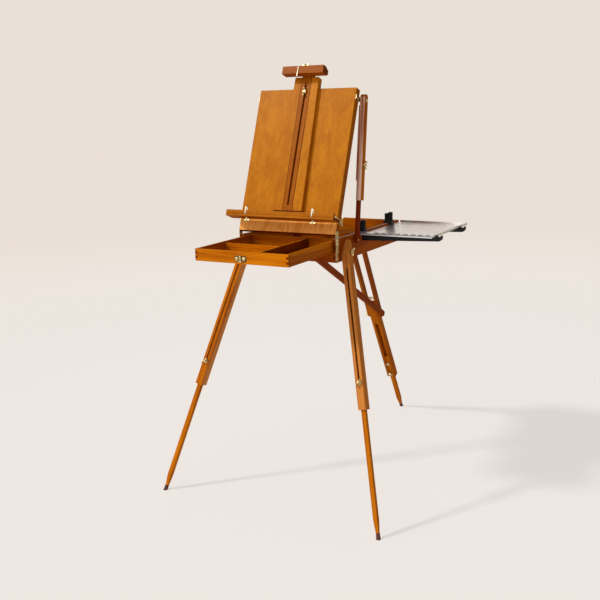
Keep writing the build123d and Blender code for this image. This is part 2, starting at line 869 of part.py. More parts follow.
def side_lock():
    """Bolt in the lid's right side with the wing nut that holds the ledge's strap."""
    lock_plane = Plane(
        origin=(lid_half, ledge_pivot_back, ledge_pivot_up), x_dir=(0, 0.3, 1), z_dir=(1, 0, 0)
    )
    nut_face = lock_plane.offset(ledge_strap_thickness + 3 * seat_gap)
    with BuildPart() as lock:
        with BuildSketch(lock_plane):
            Circle(bolt_radius)
        extrude(amount=ledge_strap_thickness + 3 * seat_gap)
        add(wing_nut(blind_bore).moved(nut_face.location))
    return lock.part


with BuildPart() as lid_fittings:
    add(brace_bracket())
    add(side_lock())
    mirror(about=Plane.YZ)
    add(mast_bolt.part)
keep("lid_fittings", lid_fittings.part, lid_plane)

with BuildPart() as ledge_fittings:
    add(ledge_straps.part)
    for blade_x in (ledge_blade_left, ledge_blade_right):
        blade_y = lip_back - blade_thickness / 2 - pin_gap
        add(blade(blade_height, 0).moved(Location((blade_x, blade_y, blade_foot))))
        nut_place = Location((blade_x, lip_back + ledge_nut_back, ledge_start), (180, 0, 0))
        add(wing_nut(blind_bore).moved(nut_place))
keep("ledge_fittings", ledge_fittings.part, lid_plane)

# Braces, built down their own line from the pivot on the lid
brace_x = (wall_outside + brace_gap, wall_outside + brace_gap + brace_width)
post_x = (brace_x[0], brace_x[0] + post_width)
brace_half = brace_depth / 2
post_half = post_depth / 2


def brace_channel():
    """Left brace channel: two cheeks and an outer wall, a rounded head, and an inner cover strip."""
    with BuildPart() as channel:
        with BuildSketch(Plane.YZ.offset(brace_x[0])):
            with BuildLine():
                edge = Polyline(
                    (brace_half, -brace_head + brace_half),
                    (brace_half, brace_length),
                    (-brace_half, brace_length),
                    (-brace_half, -brace_head + brace_half),
                )
                ThreePointArc(edge @ 1, (0, -brace_head), edge @ 0)
            make_face()
        extrude(amount=brace_width)
        room = (-post_half - slide_gap, post_half + slide_gap)
        slide_up = brace_slide_per_radian * radians(lid_lean_further)
        top_room = brace_reach - post_length - slide_up - post_half
        hollow = block((brace_x[0], post_x[1] + slide_gap), room, (top_room, brace_length))
        add(hollow, mode=Mode.SUBTRACT)
        cover_x = (wall_outside + slide_gap, brace_x[0] - seat_gap)
        cover_z = (brace_cover_start, brace_cover_end)
        add(block(cover_x, (-brace_half, brace_half), cover_z))
        for edge_y in ((-brace_half, room[0]), (room[1], brace_half)):
            add(block((cover_x[1], brace_x[0]), edge_y, cover_z))
        with BuildSketch(Plane.YZ.offset(wall_outside)):
            Circle(bolt_radius + pin_gap)
        extrude(amount=brace_gap + brace_width, mode=Mode.SUBTRACT)
        with BuildSketch(Plane.YZ.offset(brace_x[0] - seat_gap)):
            with Locations((0, brace_bolt_down)):
                Circle(bolt_radius)
        extrude(amount=brace_width + seat_gap + wing_hub_height + bolt_end)
    return channel.part


left_brace = brace_channel().moved(brace_plane.location)
keep("brace_channel_left", left_brace)
keep("brace_channel_right", twin(left_brace))


def brace_post():
    """Left brace post: flat slotted bar, rounded at its foot, with the small foot screw."""
    top = brace_reach - post_length
    with BuildPart() as post:
        with BuildSketch(Plane.YZ.offset(post_x[0])):
            with BuildLine():
                edge = Polyline(
                    (-post_half, brace_reach), (-post_half, top), (post_half, top), (post_half, brace_reach)
                )
                ThreePointArc(edge @ 1, (0, brace_reach + post_half), edge @ 0)
            make_face()
            low = brace_reach - post_slot_end
            high = brace_reach - post_slot_start
            with Locations((0, (low + high) / 2)):
                SlotOverall(high - low, post_slot_width, rotation=90, mode=Mode.SUBTRACT)
        extrude(amount=post_width)
        with BuildSketch(Plane.YZ.offset(wall_outside + seat_gap)):
            with Locations((0, brace_reach)):
                Circle(bolt_radius)
        extrude(amount=post_x[0] - wall_outside)
        with BuildSketch(Plane.YZ.offset(post_x[1])):
            with Locations((0, brace_reach)):
                Circle(screw_radius)
        extrude(amount=screw_rise)
    return post.part.moved(brace_plane.location)


left_post = brace_post()
keep("brace_post_left", left_post)
keep("brace_post_right", twin(left_post))

brace_nut_plane = Plane(
    origin=brace_top + brace_line.normalized() * brace_bolt_down + Vector(brace_x[1] + seat_gap, 0, 0),
    x_dir=(0, 0.12, 1),
    z_dir=(1, 0, 0),
)
brace_nut = wing_nut(bolt_radius + pin_gap).moved(brace_nut_plane.location)
keep("brace_wing_nut_right", brace_nut)
keep("brace_wing_nut_left", twin(brace_nut))

# Front legs, built down their own line from the pivot on the case
leg_half = leg_width / 2
depth_half = leg_depth / 2
inner_half = leg_inner_width / 2
inner_front = -depth_half + leg_front_wall


def front_leg_channel():
    """Right leg channel: scooped nose round the pivot, inner room, front slot and wedge-cut top."""
    with BuildPart() as channel:
        with BuildSketch(Plane.YZ.offset(-leg_half)):
            with BuildLine():
                front = Line((-depth_half, scoop_end), (-depth_half, leg_channel_end))
                end = Line(front @ 1, (depth_half, leg_channel_end))
                rear = Line(end @ 1, (depth_half, -leg_nose + nose_round))
                nose_tip = (depth_half - nose_round, -leg_nose)
                corner = nose_round * (1 - cos(radians(45)))
                crown = ThreePointArc(rear @ 1, (depth_half - corner, -leg_nose + corner), nose_tip)
                ThreePointArc(crown @ 1, (-depth_half + scoop_bow, -leg_nose + scoop_end), front @ 0)
            make_face()
        extrude(amount=leg_width)
        room_y = (inner_front - slide_gap, inner_front + leg_inner_depth + slide_gap)
        room_x = (-inner_half - slide_gap, inner_half + slide_gap)
        room = block(room_x, room_y, (leg_slot_start - 11, leg_channel_end))
        add(room, mode=Mode.SUBTRACT)
        with BuildSketch(Plane.XZ.offset(depth_half)):
            with Locations((0, (leg_slot_start + leg_slot_end) / 2)):
                SlotOverall(leg_slot_end - leg_slot_start, leg_slot_width, rotation=90)
        extrude(amount=-leg_front_wall, mode=Mode.SUBTRACT)
        fillet(channel.edges().filter_by(Axis.Z).group_by(Axis.X)[0], radius=2)
    placed = channel.part.moved(front_leg_plane.location)
    with BuildPart() as cut:
        add(placed)
        side_face = wall_outside + leg_side_gap
        reach = 200
        wedge = block(
            (side_face - reach, side_face),
            (leg_top.Y - reach, leg_top.Y + reach),
            (case_floor - reach, case_floor + reach),
        )
        add(wedge, mode=Mode.SUBTRACT)
        pivot_plane = Plane(origin=(0, leg_top.Y, leg_top.Z), x_dir=(0, 1, 0), z_dir=(1, 0, 0))
        with BuildSketch(pivot_plane):
            Circle(leg_bolt_radius + pin_gap)
        extrude(amount=leg_boss_x + reach, mode=Mode.SUBTRACT)
        with BuildSketch(pivot_plane.offset(leg_boss_x)):
            Circle(wing_hub_radius + 4)
        extrude(amount=reach, mode=Mode.SUBTRACT)
    return cut.part


right_channel = front_leg_channel()
keep("front_leg_channel_right", right_channel)
keep("front_leg_channel_left", twin(right_channel))


def tapered_leg(width, depth, front, start, reach):
    """Sliding inner leg: square bar whose lower end narrows to the foot."""
    middle = front + depth / 2
    end = reach - foot_length
    with BuildPart() as bar:
        with BuildSketch(Plane.XY.offset(start)):
            with Locations((0, middle)):
                Rectangle(width, depth)
        extrude(amount=end - leg_taper_length - start)
        with BuildSketch(Plane.XY.offset(end - leg_taper_length)):
            with Locations((0, middle)):
                Rectangle(width, depth)
        with BuildSketch(Plane.XY.offset(end)):
            Rectangle(leg_tip_width, leg_tip_width)
        loft()
    return bar.part


def rubber_foot(reach, place):
    """Rubber foot round the leg's end, cut flat where it stands on the floor."""
    with BuildPart() as foot:
        with BuildSketch(Plane.XY.offset(reach - foot_length)):
            Rectangle(foot_neck, foot_neck)
        with BuildSketch(Plane.XY.offset(reach + foot_width / 2)):
            Rectangle(foot_width, foot_width)
        loft()
        chamfer(foot.edges().filter_by(lambda edge: edge.length > foot_length), length=foot_corner)
    placed = foot.part.moved(place.location)
    with BuildPart() as cut:
        add(placed)
        split(bisect_by=Plane.XY, keep=Keep.TOP)
    return cut.part


knob_plane = Plane(origin=(0, -depth_half - seat_gap, leg_knob_at), x_dir=(1, 0, 0), z_dir=(0, -1, 0))
stem_plane = Plane(origin=(0, inner_front, leg_knob_at), x_dir=(1, 0, 0), z_dir=(0, -1, 0))
with BuildPart() as inner_leg:
    add(tapered_leg(leg_inner_width, leg_inner_depth, inner_front, leg_inner_start, leg_reach))
    with BuildSketch(stem_plane):
        Circle(bolt_radius)
    extrude(amount=leg_front_wall + seat_gap + knob_height - bolt_end)
right_inner = inner_leg.part.moved(front_leg_plane.location)
keep("front_leg_inner_right", right_inner)
keep("front_leg_inner_left", twin(right_inner))
right_foot = rubber_foot(leg_reach, front_leg_plane)
keep("front_foot_right", right_foot)
keep("front_foot_left", twin(right_foot))
right_knob = knob(bolt_radius + pin_gap).moved(knob_plane.location).moved(front_leg_plane.location)
keep("front_leg_knob_right", right_knob)
keep("front_leg_knob_left", twin(right_knob))

leg_nut_plane = Plane(
    origin=(leg_boss_x + leg_nut_gap, leg_top.Y, leg_top.Z), x_dir=(0, 0.5, 1), z_dir=(1, 0, 0)
)
leg_nut = wing_nut(leg_bolt_radius + pin_gap).moved(leg_nut_plane.location)
keep("front_leg_wing_nut_right", leg_nut)
keep("front_leg_wing_nut_left", twin(leg_nut))

# Back leg
lower_half = lower_width / 2
lower_depth_half = lower_depth / 2
crossbar_down = fork_reach - crossbar_from_knee


def fork_rail():
    """Right fork rail: flat bar with round ends, bored for the hinge pin and the knee bolt."""
    with BuildPart() as rail:
        with BuildSketch(Plane.YZ.offset(fork_inside / 2)):
            with BuildLine():
                end = fork_reach + fork_rail_beyond
                edge = Line((-rail_half_depth, end), (-rail_half_depth, 0))
                crown = ThreePointArc(edge @ 1, (0, -rail_half_depth), (rail_half_depth, 0))
                back = Line(crown @ 1, (rail_half_depth, end))
                ThreePointArc(back @ 1, (0, end + rail_half_depth), edge @ 0)
            make_face()
            Circle(hinge_pin + pin_gap, mode=Mode.SUBTRACT)
            with Locations((0, fork_reach)):
                Circle(bolt_radius, mode=Mode.SUBTRACT)
            with Locations((0, crossbar_down)):
                Circle(crossbar_radius * 0.6, mode=Mode.SUBTRACT)
        extrude(amount=fork_rail_width)
    return rail.part


right_fork = fork_rail()
keep("fork_rail_right", right_fork, fork_plane)
keep("fork_rail_left", twin(right_fork), fork_plane)

with BuildPart() as fork_bolts:
    with BuildSketch(Plane.YZ.offset(-fork_inside / 2)):
        with Locations((0, crossbar_down)):
            Circle(crossbar_radius)
    extrude(amount=fork_inside)
    with BuildSketch(Plane.YZ.offset(-rail_outside)):
        with Locations((0, crossbar_down)):
            Circle(crossbar_radius * 0.6)
    extrude(amount=2 * rail_outside)
    with BuildSketch(Plane.YZ.offset(-rail_outside)):
        with Locations((0, fork_reach)):
            Circle(bolt_radius)
    extrude(amount=2 * rail_outside + wing_hub_height + bolt_end)
keep("fork_bolts", fork_bolts.part, fork_plane)

knee_nut_plane = Plane(
    origin=(rail_outside + seat_gap, 0, fork_reach), x_dir=(0, 0.2, 1), z_dir=(1, 0, 0)
)
keep("knee_wing_nut", wing_nut(bolt_radius + pin_gap).moved(knee_nut_plane.location), fork_plane)

groove_front = -lower_depth_half
groove_back = lower_depth_half - groove_floor
back_inner_front = groove_back - slide_gap - back_inner_depth
inner_half_back = back_inner_width / 2
with BuildPart() as lower_channel:
    with BuildSketch(Plane.YZ.offset(-lower_half)):
        with BuildLine():
            edge = Polyline(
                (lower_depth_half, -lower_head + lower_depth_half),
                (lower_depth_half, lower_length),
                (-lower_depth_half, lower_length),
                (-lower_depth_half, -lower_head + lower_depth_half),
            )
            ThreePointArc(edge @ 1, (0, -lower_head), edge @ 0)
        make_face()
    extrude(amount=lower_width)
    with BuildSketch(Plane.XZ.offset(lower_depth_half)):
        groove_width = back_inner_width + 2 * slide_gap
        with Locations((0, (groove_start + lower_length + 20) / 2)):
            RectangleRounded(groove_width, lower_length + 20 - groove_start, groove_width / 2 - 0.2)
    extrude(amount=-(lower_depth - groove_floor), mode=Mode.SUBTRACT)
    with BuildSketch(Plane.XZ.offset(lower_depth_half)):
        slot_low = back_knob_at - back_inner_travel - 5
        slot_high = back_knob_at + 6
        with Locations((0, (slot_low + slot_high) / 2)):
            SlotOverall(slot_high - slot_low, leg_slot_width, rotation=90)
    extrude(amount=-lower_depth, mode=Mode.SUBTRACT)
    with BuildSketch(Plane.YZ.offset(-lower_half)):
        Circle(bolt_radius + pin_gap)
    extrude(amount=lower_width, mode=Mode.SUBTRACT)
keep("back_leg_channel", lower_channel.part, back_leg_plane)

back_knob_plane = Plane(
    origin=(0, back_inner_front - seat_gap, back_knob_at), x_dir=(1, 0, 0), z_dir=(0, -1, 0)
)
with BuildPart() as back_inner:
    bar = tapered_leg(back_inner_width, back_inner_depth, back_inner_front, back_inner_start, back_reach)
    add(bar)
    fillet(back_inner.edges().filter_by(Axis.Y).group_by(Axis.Z)[0], radius=back_inner_width / 2 - 1)
    with BuildSketch(back_knob_plane.offset(-back_inner_depth - groove_floor)):
        Circle(bolt_radius)
    extrude(amount=back_inner_depth + groove_floor + knob_height - bolt_end)
    with BuildSketch(back_knob_plane.offset(-back_inner_depth - groove_floor - 3 * seat_gap)):
        Circle(bolt_head_radius)
    extrude(amount=-bolt_head_height)
    with BuildSketch(back_knob_plane.offset(-back_inner_depth - groove_floor - 3 * seat_gap)):
        Circle(bolt_radius)
    extrude(amount=3 * seat_gap)
keep("back_leg_inner", back_inner.part, back_leg_plane)
keep("back_foot", rubber_foot(back_reach, back_leg_plane))
keep("back_leg_knob", knob(bolt_radius + pin_gap).moved(back_knob_plane.location), back_leg_plane)

with BuildPart() as leg_keeper:
    keeper_plane = Plane(origin=(0, groove_front, keeper_at), x_dir=(1, 0, 0), z_dir=(0, -1, 0))
    with BuildSketch(keeper_plane):
        RectangleRounded(lower_width, keeper_length, 3)
    extrude(amount=keeper_thickness)
    add(knob(0).moved(keeper_plane.offset(keeper_thickness).location))
keep("back_leg_keeper", leg_keeper.part, back_leg_plane)

# Strut
strut_radius = strut_height / 2
with BuildPart() as strut_upper:
    with BuildSketch(Plane.YZ.offset(upper_half_x[0])):
        with Locations((0, strut_half / 2)):
            SlotOverall(strut_half + strut_height, strut_height, rotation=90)
        Circle(bolt_radius + pin_gap, mode=Mode.SUBTRACT)
    extrude(amount=strut_thickness)
    with BuildSketch(Plane.YZ.offset(lower_half_x[0])):
        with Locations((0, strut_half)):
            Circle(bolt_radius)
    extrude(amount=upper_half_x[0] - lower_half_x[0])
    with BuildSketch(Plane.YZ.offset(upper_half_x[1])):
        with Locations((0, strut_half)):
            Circle(bolt_head_radius)
    extrude(amount=bolt_head_height)
keep("strut_upper", strut_upper.part, strut_plane)

with BuildPart() as strut_lower:
    with BuildSketch(Plane.YZ.offset(lower_half_x[0])):
        with Locations((0, strut_half * 1.5)):
            SlotOverall(strut_half + strut_height, strut_height, rotation=90)
        with Locations((0, strut_half)):
            Circle(bolt_radius + pin_gap, mode=Mode.SUBTRACT)
    extrude(amount=strut_thickness)
    with BuildSketch(Plane.YZ.offset(lower_half_x[1])):
        with Locations((0, 2 * strut_half)):
            Circle(bolt_head_radius)
    extrude(amount=-bolt_head_height, mode=Mode.SUBTRACT)
    with BuildSketch(Plane.YZ.offset(lower_half_x[0])):
        with Locations((0, 2 * strut_half)):
            Circle(bolt_head_radius - 1)
    extrude(amount=strut_thickness - 0.5)
keep("strut_lower", strut_lower.part, strut_plane)

# Side tray
tray_floor = case_floor + tray_height
tray_front_y = case_depth - tray_back_in - tray_depth
arm_front_y = tray_front_y + arm_front_in
arm_rear_y = tray_front_y + arm_rear_in
tray_x = (wall_outside + tray_side_gap, wall_outside + tray_side_gap + tray_length)
tray_y = (tray_front_y, tray_front_y + tray_depth)


def scalloped_rim(length, plain):
    """Rim standing on its edge: a straight stretch and then rounded hills of even pitch."""
    count = int((length - plain) / tray_hill_pitch)
    valley = tray_rim - tray_hill_depth
    first = length - count * tray_hill_pitch
    half_hill = tray_hill_pitch / 2 - tray_hill_space
    with BuildSketch() as rim:
        Rectangle(length, valley, align=Align.MIN)
        if plain:
            Rectangle(plain, tray_rim, align=Align.MIN)
        for index in range(count):
            middle = first + (index + 0.5) * tray_hill_pitch
            with BuildLine():
                foot = Line((middle - half_hill, valley), (middle + half_hill, valley))
                ThreePointArc(foot @ 1, (middle, tray_rim), foot @ 0)
            make_face()
    return rim.sketch


with BuildPart() as side_tray:
    add(block(tray_x, tray_y, (tray_floor, tray_floor + tray_sheet)))
    front_face = Plane(origin=(tray_x[0], tray_y[0], tray_floor), x_dir=(1, 0, 0), z_dir=(0, -1, 0))
    with BuildSketch(front_face):
        add(scalloped_rim(tray_length, tray_plain))
    extrude(amount=-tray_sheet)
    right_face = Plane(origin=(tray_x[1], tray_y[0], tray_floor), x_dir=(0, 1, 0), z_dir=(1, 0, 0))
    with BuildSketch(right_face):
        add(scalloped_rim(tray_depth, 0))
    extrude(amount=-tray_sheet)
    back_rim_y = (tray_y[1] - tray_sheet, tray_y[1])
    add(block(tray_x, back_rim_y, (tray_floor, tray_floor + tray_back_rim)))
keep("side_tray", side_tray.part)

arm_x = wall_outside + slide_gap
arm_top = tray_floor
tip_x = tray_x[1] + hook_gap + hook_thickness * 2


def tray_arm(middle):
    """Bracket under the tray: tapered towards its tip, with a post and an upturned hook."""
    face = Plane(origin=(0, middle - arm_width / 2, 0), x_dir=(1, 0, 0), z_dir=(0, -1, 0))
    post_at = tray_x[1] + seat_gap
    with BuildPart() as arm:
        with BuildSketch(face):
            with BuildLine():
                low = Polyline(
                    (tip_x - hook_thickness, arm_top),
                    (post_at + hook_thickness, arm_top),
                    (post_at + hook_thickness, arm_top + hook_rise),
                    (post_at, arm_top + hook_rise),
                    (post_at, arm_top - seat_gap),
                    (arm_x, arm_top - seat_gap),
                    (arm_x, arm_top - arm_root_height),
                    (tip_x - hook_curl, arm_top - arm_tip_height),
                )
                bend = hook_curl * (1 - cos(radians(45)))
                middle_of_curl = (tip_x - bend, arm_top - arm_tip_height + bend)
                curl = ThreePointArc(low @ 1, middle_of_curl, (tip_x, arm_top - arm_tip_height + hook_curl))
                tip_top = arm_top + hook_rise
                Polyline(curl @ 1, (tip_x, tip_top), (tip_x - hook_thickness, tip_top), low @ 0)
            make_face()
        extrude(amount=-arm_width)
    return arm.part


def edge_clamp(middle):
    """Clamp over the wall's top edge: saddle, two jaws and a two-lobed ribbed grip."""
    width = arm_width * 2
    y = (middle - width / 2, middle + width / 2)
    top = case_top + clamp_grip
    inner = wall_inside - clamp_jaw
    with BuildPart() as clamp:
        outside_x = (arm_x, tray_x[0] - slide_gap)
        add(block((inner, outside_x[1]), y, (case_top + seat_gap, top)))
        jaw_low = drawer_z[1] + 2 * seat_gap
        add(block((inner, wall_inside - seat_gap), y, (jaw_low, case_top + seat_gap)))
        add(block(outside_x, y, (arm_top - seat_gap, case_top + seat_gap)))
        with BuildSketch(Plane.XY.offset(top)):
            for lobe in (-1, 1):
                with Locations(((inner + outside_x[1]) / 2 + lobe * clamp_knob_radius * 0.8, middle)):
                    Circle(clamp_knob_radius)
        extrude(amount=clamp_knob_height)
    return clamp.part


with BuildPart() as tray_arms:
    for middle in (arm_front_y, arm_rear_y):
        add(tray_arm(middle))
keep("tray_arms", tray_arms.part)
with BuildPart() as tray_clamps:
    for middle in (arm_front_y, arm_rear_y):
        add(edge_clamp(middle))
keep("tray_clamps", tray_clamps.part)

# Origin: the middle of the whole easel on the floor
box = Compound(children=[Part(piece.wrapped) for piece in pieces.values()]).bounding_box()
shift = Vector(-(box.min.X + box.max.X) / 2, -(box.min.Y + box.max.Y) / 2, -box.min.Z)

os.makedirs("parts", exist_ok=True)
for name, piece in pieces.items():
    placed = piece.moved(Location(shift))
    placed.label = name
    export_step(placed, f"parts/{name}.step")
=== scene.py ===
import json
import math

import bmesh
import bpy
import numpy as np
from mathutils import Matrix, Vector


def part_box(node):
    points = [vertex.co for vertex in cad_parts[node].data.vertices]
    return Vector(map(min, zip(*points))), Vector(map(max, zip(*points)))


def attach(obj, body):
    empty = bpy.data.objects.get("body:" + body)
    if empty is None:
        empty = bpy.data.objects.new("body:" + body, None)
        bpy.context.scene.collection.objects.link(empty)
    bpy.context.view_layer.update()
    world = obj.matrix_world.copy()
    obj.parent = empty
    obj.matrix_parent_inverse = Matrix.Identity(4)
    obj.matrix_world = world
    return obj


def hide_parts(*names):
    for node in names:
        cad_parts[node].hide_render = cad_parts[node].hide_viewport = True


bl_info = {
    "name": "French easel",
    "version": (1, 0, 0),
    "blender": (4, 5, 0),
    "location": "3D View > Sidebar > Easel",
    "description": "Finishes the packed french easel: wood, brass fittings, tray and stage",
    "category": "Object",
}

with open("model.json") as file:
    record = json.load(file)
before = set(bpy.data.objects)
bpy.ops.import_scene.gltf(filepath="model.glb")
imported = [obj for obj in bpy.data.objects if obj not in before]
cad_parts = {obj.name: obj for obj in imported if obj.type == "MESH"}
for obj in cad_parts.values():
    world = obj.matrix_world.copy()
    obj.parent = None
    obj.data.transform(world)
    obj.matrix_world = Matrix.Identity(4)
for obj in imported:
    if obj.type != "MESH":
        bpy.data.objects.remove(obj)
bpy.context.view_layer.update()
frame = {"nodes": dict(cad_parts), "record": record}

# Places read from the frame, in metres
BODY_OF = {
    node: body for body, nodes in frame["record"]["behaviour"]["bodies"].items() for node in nodes
}
SLOT_OF = {part["node"]: part["material_slot"] for part in frame["record"]["subparts"]}
RAIL_LOW, RAIL_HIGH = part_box("case_front_rail")
CASE_X = (RAIL_LOW.x + RAIL_HIGH.x) / 2
CASE_FRONT = RAIL_LOW.y

# Directions: x is across the easel, y its depth, and the floor is level
ACROSS = (1.0, 0.0, 0.0)
INWARD = (0.0, 1.0, 0.0)
FRONT = (0.0, -1.0, 0.0)
UP = (0.0, 0.0, 1.0)
DOWN = (0.0, 0.0, -1.0)
HANDS = {"left": -1, "right": 1}

# How far each board tends to the darker colour, from 0 to 1: mostly each board's own tone,
# but the high values of the right case side, the front rail and the brace posts are painted shade
STAIN_AND_SHADE = {
    "case_side_left": 0.3, "case_side_right": 0.72, "case_front_rail": 0.8, "case_back": 0.4,
    "case_deck": 0.6, "case_divider": 0.5,
    "drawer_front": 0.0, "drawer_back": 0.0, "drawer_dividers": 0.0,
    "drawer_side_left": 0.35, "drawer_side_right": 0.3,
    "lid_frame": 0.6, "mast_rail_left": 0.2, "mast_rail_right": 0.05, "mast_bar": 0.52,
    "top_clamp": 0.65, "canvas_ledge": 0.3,
    "brace_channel_right": 0.4, "brace_post_left": 0.75, "brace_post_right": 1.0,
    "front_leg_channel_left": 0.15, "front_leg_channel_right": 0.32,
    "front_leg_inner_right": 0.3,
    "fork_rail_left": 0.6, "fork_rail_right": 0.45, "back_leg_channel": 0.3,
    "strut_upper": 0.85, "strut_lower": 0.8,
}
USUAL_STAIN = 0.1

# Wing nuts that differ from the usual one, and how the ears of a nut on a side are turned
MAST_NUT = {"radius": 0.0085, "span": 0.034, "thicker": 2.2}
LOCK_NUT = {"radius": 0.0062, "flange": 0.0026, "height": 0.0088, "span": 0.029, "rise": 0.0150}
LEDGE_NUT = {
    "radius": 0.0042, "height": 0.0125, "span": 0.022, "rise": 0.0132, "bolt": 0.0024, "root": 0.72,
}
SIDE_TURN = (0, 0.3, 1)
LEG_TURN = (0, 0.5, 1)

# Lamps: the way that each one's light travels
MAIN_TRAVEL = (0.843, 0.834, -1.0)
FILL_TRAVEL = (0.35, 1.0, -0.15)

PREFIX = "easel "  # keeps these materials apart from the frame's
MERGE = 1e-6
FLAT = math.radians(0.4)
TWO_PI = 2 * math.pi
BOARD_SHARP = math.radians(35)
FITTING_SHARP = math.radians(40)
BEVEL_FROM = math.radians(40)
BRASS_EDGE = 0.0002
ARM_EDGE = 0.0006
STRIP_DEPTH = 0.004  # a retaining blade is thinner than this, and its nut is thicker


# Numbers, colours and vectors that vary over a surface
class Number:
    """A number that varies over a surface: arithmetic on it adds Math nodes."""

    def __init__(self, nodes, socket):
        self.nodes = nodes
        self.socket = socket

    def __add__(self, other):
        return self.nodes.math("ADD", self, other)

    __radd__ = __add__

    def __sub__(self, other):
        return self.nodes.math("SUBTRACT", self, other)

    def __rsub__(self, other):
        return self.nodes.math("SUBTRACT", other, self)

    def __mul__(self, other):
        return self.nodes.math("MULTIPLY", self, other)

    __rmul__ = __mul__


class Nodes:
    """A node tree that expressions and calls add to."""

    def __init__(self, tree):
        self.tree = tree

    def feed(self, socket, value):
        """Sets a socket to a constant, or links it to the socket behind a varying value."""
        source = getattr(value, "socket", value)
        if isinstance(source, bpy.types.NodeSocket):
            self.tree.links.new(source, socket)
        else:
            socket.default_value = source

    def node(self, kind, settings=None, inputs=None):
        """A node of a type, with its settings made first and then its sockets."""
        made = self.tree.nodes.new(kind)
        for setting, value in (settings or {}).items():
            setattr(made, setting, value)
        for socket, value in (inputs or {}).items():
            self.feed(made.inputs[socket], value)
        return made

    def math(self, operation, first, second):
        made = self.node("ShaderNodeMath", {"operation": operation}, {0: first, 1: second})
        return Number(self, made.outputs[0])

    def place(self):
        """The place on the piece, in metres."""
        return self.node("ShaderNodeTexCoord").outputs["Object"]

    def height(self, place):
        made = self.node("ShaderNodeSeparateXYZ", None, {0: place})
        return Number(self, made.outputs["Z"])

    def stored(self, name):
        """A number that the mesh stores under a name."""
        made = self.node("ShaderNodeAttribute", {"attribute_name": name})
        return Number(self, made.outputs["Fac"])

    def stored_place(self, name):
        """A vector that the mesh stores under a name."""
        return self.node("ShaderNodeAttribute", {"attribute_name": name}).outputs["Vector"]

    def scaled(self, vector, factors):
        """The vector with each of its parts multiplied by its own factor."""
        settings, inputs = {"operation": "MULTIPLY"}, {0: vector, 1: factors}
        return self.node("ShaderNodeVectorMath", settings, inputs).outputs[0]

    def noise(self, vector, scale, detail, distortion=0.0):
        inputs = {"Vector": vector, "Scale": scale, "Detail": detail, "Distortion": distortion}
        return Number(self, self.node("ShaderNodeTexNoise", None, inputs).outputs[0])

    def step(self, value, low, high):
        """0 below low and 1 above high, with a smooth rise between them."""
        inputs = {"Value": value, "From Min": low, "From Max": high}
        made = self.node("ShaderNodeMapRange", {"interpolation_type": "SMOOTHSTEP"}, inputs)
        return Number(self, made.outputs[0])

    def blend(self, factor, first, second):
        """The first colour where the factor is 0 and the second where it is 1."""
        inputs = {0: factor, 6: first, 7: second}
        return self.node("ShaderNodeMix", {"data_type": "RGBA"}, inputs).outputs[2]

    def either(self, factor, first, second):
        """The first shader where the factor is 0 and the second where it is 1."""
        inputs = {0: factor, 1: first.outputs[0], 2: second.outputs[0]}
        return self.node("ShaderNodeMixShader", None, inputs).outputs[0]

    def seen_rays(self):
        """Three numbers: 1 on the camera's rays, on glossy ones and on those that went through."""
        path = self.node("ShaderNodeLightPath")
        kinds = ("Camera", "Glossy", "Transmission")
        return [Number(self, path.outputs[f"Is {kind} Ray"]) for kind in kinds]


class Finish(Nodes):
    """One material: its node tree and its surface shader."""

    def __init__(self, name, **constants):
        self.material = bpy.data.materials.new(PREFIX + name)
        self.material.use_nodes = True
        super().__init__(self.material.node_tree)
        self.surface = self.tree.nodes["Principled BSDF"]
        for socket, value in constants.items():
            self.feed(self.surface.inputs[socket.replace("_", " ")], value)

    def paint(self, colour, roughness, height, depth):
        """Feeds the surface's colour, roughness and, through a bump, its normal."""
        bump = self.node("ShaderNodeBump", None, {"Height": height, "Distance": depth})
        self.feed(self.surface.inputs["Base Color"], colour)
        self.feed(self.surface.inputs["Roughness"], roughness)
        self.feed(self.surface.inputs["Normal"], bump.outputs[0])


def opaque(colour, share=1.0):
    """A colour setting as a shader colour, darkened to a share of itself."""
    return (colour[0] * share, colour[1] * share, colour[2] * share, 1.0)


# Settings
def colour_setting(name, description, default):
    return bpy.props.FloatVectorProperty(
        name=name, description=description, default=default, subtype="COLOR", min=0, max=1)


def length_setting(name, description, default, most):
    return bpy.props.FloatProperty(
        name=name, description=description, default=default, min=0.0001, max=most,
        unit="LENGTH")


def angle_setting(name, description, degrees):
    return bpy.props.FloatProperty(
        name=name, description=description, default=math.radians(degrees), subtype="ANGLE")


def strength_setting(name, description, default, most):
    return bpy.props.FloatProperty(
        name=name, description=description, default=default, min=0, max=most)


def count_setting(name, description, default):
    return bpy.props.IntProperty(
        name=name, description=description, default=default, min=4, max=60)


